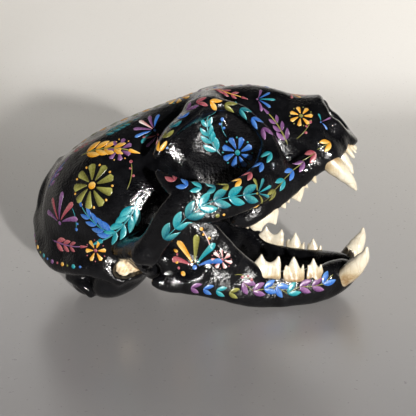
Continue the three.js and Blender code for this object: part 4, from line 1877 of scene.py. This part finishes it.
    @staticmethod
    def cheek(m: Motifs) -> None:
        """Paints the cheek arch and the crest at the back.

        Args:
            m: A clean brush on the head bone.
        """
        arch = [
            (-3.4, -33.2, 24.6), (0.6, -33.4, 28.6), (4.2, -32.9, 32.4), (8.0, -31.4, 34.2),
            (13.3, -28.2, 34.8), (18.6, -25.0, 34.8),
        ]
        m.garland(arch, 3.9, 4.8, (SEA, WAVE), WAVE)
        m.tulip(m.spot((18.6, -25.0, 34.8), (23.0, -21.0, 36.4)), 4.4, (MOSS, SEA, WAVE, SEA, MOSS))
        m.beads([(9.0, -30.4, 30.6), (13.4, -27.4, 31.0), (18.0, -24.0, 31.0)], 1.7, 1.2, (MOSS, SUN))
        crest = [
            (-44.2, -5.0, 15.8), (-41.8, -9.4, 12.6), (-37.4, -13.8, 11.4), (-31.4, -18.2, 11.8),
            (-26.0, -20.6, 12.4),
        ]
        m.beads(crest, 2.1, 1.35, (DUSK, BERRY, SUN, MOSS, WAVE, SKY))
        m.rosette(m.spot((-40.0, -6.4, 8.0), (-40.6, -6.4, 12.0)), 3.0, 7, DUSK, SUN)

    @staticmethod
    def lower_jaw(m: Motifs) -> None:
        """Paints this side's half of the jaw.

        Args:
            m: A clean brush on the jaw bone.
        """
        m.tulip(m.spot((2.4, -20.2, 13.4), (2.8, -21.0, 22.0)), 8.4, (SKY, WAVE, MOSS, SUN, BERRY))
        m.rosette(m.spot((9.4, -19.4, 15.6), (10.0, -19.4, 19.0)), 3.0, 7, SHELL, BERRY)
        m.berries(m.spot((6.6, -20.6, 18.4), (5.6, -21.2, 24.0)), 5.6, 24, SUN, SHELL)
        m.beads([(-1.6, -22.4, 19.4), (-1.8, -22.4, 14.4), (0.6, -21.8, 10.6)], 2.0, 1.4, (SUN, BERRY))
        low = [(1.4, -21.8, 8.6), (6.0, -20.8, 7.2), (11.0, -18.8, 6.0), (14.6, -17.4, 5.2)]
        m.garland(low, 3.4, 3.1, (DUSK, SKY, WAVE, MOSS), None)
        vine = [
            (14.6, -16.8, 8.6), (18.2, -15.6, 5.0), (22.4, -14.4, 7.4), (26.6, -13.2, 4.4),
            (30.6, -11.8, 6.8), (34.6, -10.2, 5.2), (38.4, -8.0, 8.6),
        ]
        m.garland(vine, 3.7, 3.9, (DUSK, DUSK, SKY, SKY, WAVE), MOSS)
        m.berries(m.spot((12.4, -17.6, 11.0), (17.0, -16.0, 10.4)), 4.6, -30, BERRY, MOSS)

    def build(self, paint: Material) -> None:
        """Paints the whole side.

        Args:
            paint: The pattern's paint.
        """
        head, jaw = Surface(self.head), Surface(self.jaw)
        parts = (
            ("temple", head, self.temple),
            ("brow", head, self.forehead),
            ("eye_socket", head, self.eye_socket),
            ("muzzle", head, self.muzzle),
            ("cheek", head, self.cheek),
            ("jaw", jaw, self.lower_jaw),
        )
        for number, (name, bone, lay) in enumerate(parts, 1):
            brush = Brush(bone, -self.side.value, number * 2 + (self.side is Side.LEFT))
            lay(Motifs(brush))
            brush.piece(f"{name}_pattern_{self.side.word}", paint)


@dataclass
class MidlinePattern:
    """The pattern along the middle of the roof and the back of the head."""

    head: Piece

    def build(self, paint: Material) -> None:
        """Paints the line.

        Args:
            paint: The pattern's paint.
        """
        m = Motifs(Brush(Surface(self.head), 1, 31))
        roof = [(-35.8, 0, 41.0), (-27.5, 0, 46.6), (-18.7, 0, 51.4), (-9.3, 0, 55.3)]
        m.garland(roof, 3.2, 3.0, (MOSS, SUN), MOSS)
        m.rosette(m.spot((-5.0, 0, 57.0), (0, 0, 58.0)), 4.0, 8, SUN, SEA)
        m.beads([(0.6, 0, 58.6), (12.0, 0, 58.8), (24.0, 0, 57.6)], 2.4, 1.3, (DUSK, SHELL, SKY))
        m.tulip(m.spot((25.5, 0, 57.2), (31, 0, 56.0)), 4.0, (BERRY, SUN, SHELL, SUN, BERRY))
        m.tulip(m.spot((-43.6, 0, 12.0), (-44.6, 0, 18.0)), 4.4, (SEA, WAVE, SKY, WAVE, SEA))
        m.brush.piece("midline_pattern", paint)


# ------------------------------------------------------------------ stage


@dataclass
class Stage:
    """The floor, the soft lights and the camera."""

    aim: Point = (0.00356, 0.0, 0.0239)
    azimuth: float = 6.5
    elevation: float = 15.2
    distance: float = 0.245
    sensor: float = 36.0
    lens: float = 882 / 416 * 36
    floor_reach: float = 5.0
    flat_front: float = 1.6
    flat_back: float = 0.26
    sweep: float = 0.34
    wall: float = 1.2
    spokes: int = 72
    sky: Point = (0.93, 0.95, 1.0)
    sky_strength: float = 0.03

    def direction(self, azimuth: float, elevation: float) -> Vector:
        """Points from the skull towards a place on the sphere round it.

        Args:
            azimuth: Degrees round from the front, to the right.
            elevation: Degrees above the floor.

        Returns:
            A direction of length 1.
        """
        a, e = math.radians(azimuth), math.radians(elevation)
        return Vector((math.sin(a) * math.cos(e), -math.cos(a) * math.cos(e), math.sin(e)))

    def build_floor(self) -> Piece:
        """Builds the seamless paper, flat under the skull and swept up far from it, and returns it."""
        near, far = np.linspace(0, 0.25, 6), np.geomspace(0.28, self.floor_reach, 46)
        reach = np.concatenate([near, far]) / MM
        turns = np.linspace(0, 2 * math.pi, self.spokes + 1)[:-1]
        points = [(0.0, 0.0, 0.0)]
        for r in reach[1:]:
            for turn in turns:
                behind = 0.5 - 0.5 * math.cos(turn - math.pi * 1.5)
                begin = self.flat_front + (self.flat_back - self.flat_front) * behind**2
                over = max(r - begin / MM, 0.0)
                rise = over * over / (2 * self.sweep / MM)
                height = min(rise, self.wall / MM + over * 0.6)
                points.append((r * math.cos(turn), r * math.sin(turn), height))
        n = len(turns)
        faces = [(0, 1 + i, 1 + (i + 1) % n) for i in range(n)]
        for ring in range(len(reach) - 2):
            for i in range(n):
                a, b = 1 + ring * n + i, 1 + ring * n + (i + 1) % n
                faces.append((a, a + n, b + n, b))
        floor = make_piece("floor", np.array(points), faces, FloorPaper().material())
        return floor

    def place(self, made: Piece, back: Vector, distance: float, turn: float = 0.0) -> Piece:
        """Puts a light or the camera in its place.

        Args:
            made: The light or the camera.
            back: The way to it from the skull.
            distance: Metres from the skull.
            turn: Degrees that it is tipped about its own long side, 0 to face the skull.

        Returns:
            The same object, linked to the scene.
        """
        made.location = Vector(self.aim) + back * distance
        facing = (-back).to_track_quat("-Z", "Y") @ Quaternion((1.0, 0.0, 0.0), math.radians(turn))
        made.rotation_euler = facing.to_euler()
        bpy.context.scene.collection.objects.link(made)
        return made

    def soft_light(self, name: str, size: tuple[float, float], power: float, colour: Point) -> Piece:
        """Makes a rectangular soft light.

        Args:
            name: The light's name.
            size: Width and height in metres.
            power: Watts.
            colour: Red, green and blue.

        Returns:
            The light, still without a place.
        """
        lamp = bpy.data.lights.new(name, "AREA")
        lamp.shape = "RECTANGLE"
        lamp.size, lamp.size_y = size
        lamp.energy = power
        lamp.color = colour
        return bpy.data.objects.new(name, lamp)

    def build_camera(self) -> Piece:
        """Places the camera, makes it the scene's own and returns it."""
        lens = bpy.data.cameras.new("camera")
        lens.lens = self.lens
        lens.sensor_width = self.sensor
        lens.clip_start = 0.01
        made = bpy.data.objects.new("camera", lens)
        self.place(made, self.direction(self.azimuth, self.elevation), self.distance)
        bpy.context.scene.camera = made
        return made

    def build(self) -> None:
        """Sets up everything round the skull."""
        self.build_camera()
        self.build_floor()
        window = self.soft_light("window", (0.04, 0.04), 41.0, (1.0, 0.975, 0.94))
        self.place(window, self.direction(24.0, 9.4), 1.3)
        panel = self.soft_light("back_panel", (0.9, 0.12), 0.43, (0.97, 0.985, 1.0))
        self.place(panel, self.direction(178.0, 24.5), 0.8)
        backdrop = self.soft_light("backdrop_lamp", (0.5, 0.3), 0.1, (1.0, 0.98, 0.95))
        self.place(backdrop, self.direction(215.0, 62.0), 0.7, -50.0)
        world = bpy.data.worlds.new("studio")
        bpy.context.scene.world = world
        world.use_nodes = True
        glow = {"Color": (*self.sky, 1.0), "Strength": self.sky_strength}
        Shader.put(world.node_tree.nodes["Background"], glow)
        bpy.context.scene.view_settings.view_transform = "Standard"
        LOG.info("floor, lights and camera are set")


def build_teeth(enamel: Material) -> list[Piece]:
    """Builds all teeth.

    Args:
        enamel: Their finish.

    Returns:
        The tooth pieces.
    """
    head, jaw = BoneFrame.HEAD, BoneFrame.JAW
    rows = [ToothRow("upper_teeth", upper_tooth_steps(), head, (20, -24, -14), (60, 24, -3), -6.0, -11.4)]
    for side in Side:
        word, right = side.word, side is Side.RIGHT
        single = [replace(step, both=False) for step in lower_tooth_steps()]
        upper, lower = upper_fang_steps(), lower_fang_steps()
        names = [f"{kind}_{word}" for kind in ("lower_teeth", "fang_upper", "fang_lower")]
        nodes = [f"canine_{level}_{word}" for level in ("upper", "lower")]
        rows += [
            ToothRow(names[0], single, jaw, (21, 0, -13), (55, 17, -1), -9.3, -3.4, None, right),
            ToothRow(names[1], upper, head, (44, 6, -18.5), (55, 15, 6), -5.6, -15.0, nodes[0], right, 0.2),
            ToothRow(names[2], lower, jaw, (42, 1, -16.5), (58, 12, 1), -10.5, -3.0, nodes[1], right, 0.2),
        ]
    return [row.build(enamel) for row in rows]


def main() -> None:
    """Builds the skull piece by piece."""
    logging.basicConfig(level=logging.INFO, format="%(message)s")
    black = GlossBlack().material()
    bare = BareBone().material()
    head = Cranium().build(black)
    jaws = {}
    for side in Side:
        jaws[side] = HalfJaw(side).build(black)
        EarBone(side).build(bare)
    build_teeth(ToothEnamel().material())
    paint = PatternPaint().material()
    for side in Side:
        PaintedPattern(side, head, jaws[side]).build(paint)
    MidlinePattern(head).build(paint)
    Stage().build()


if __name__ == "__main__":
    main()
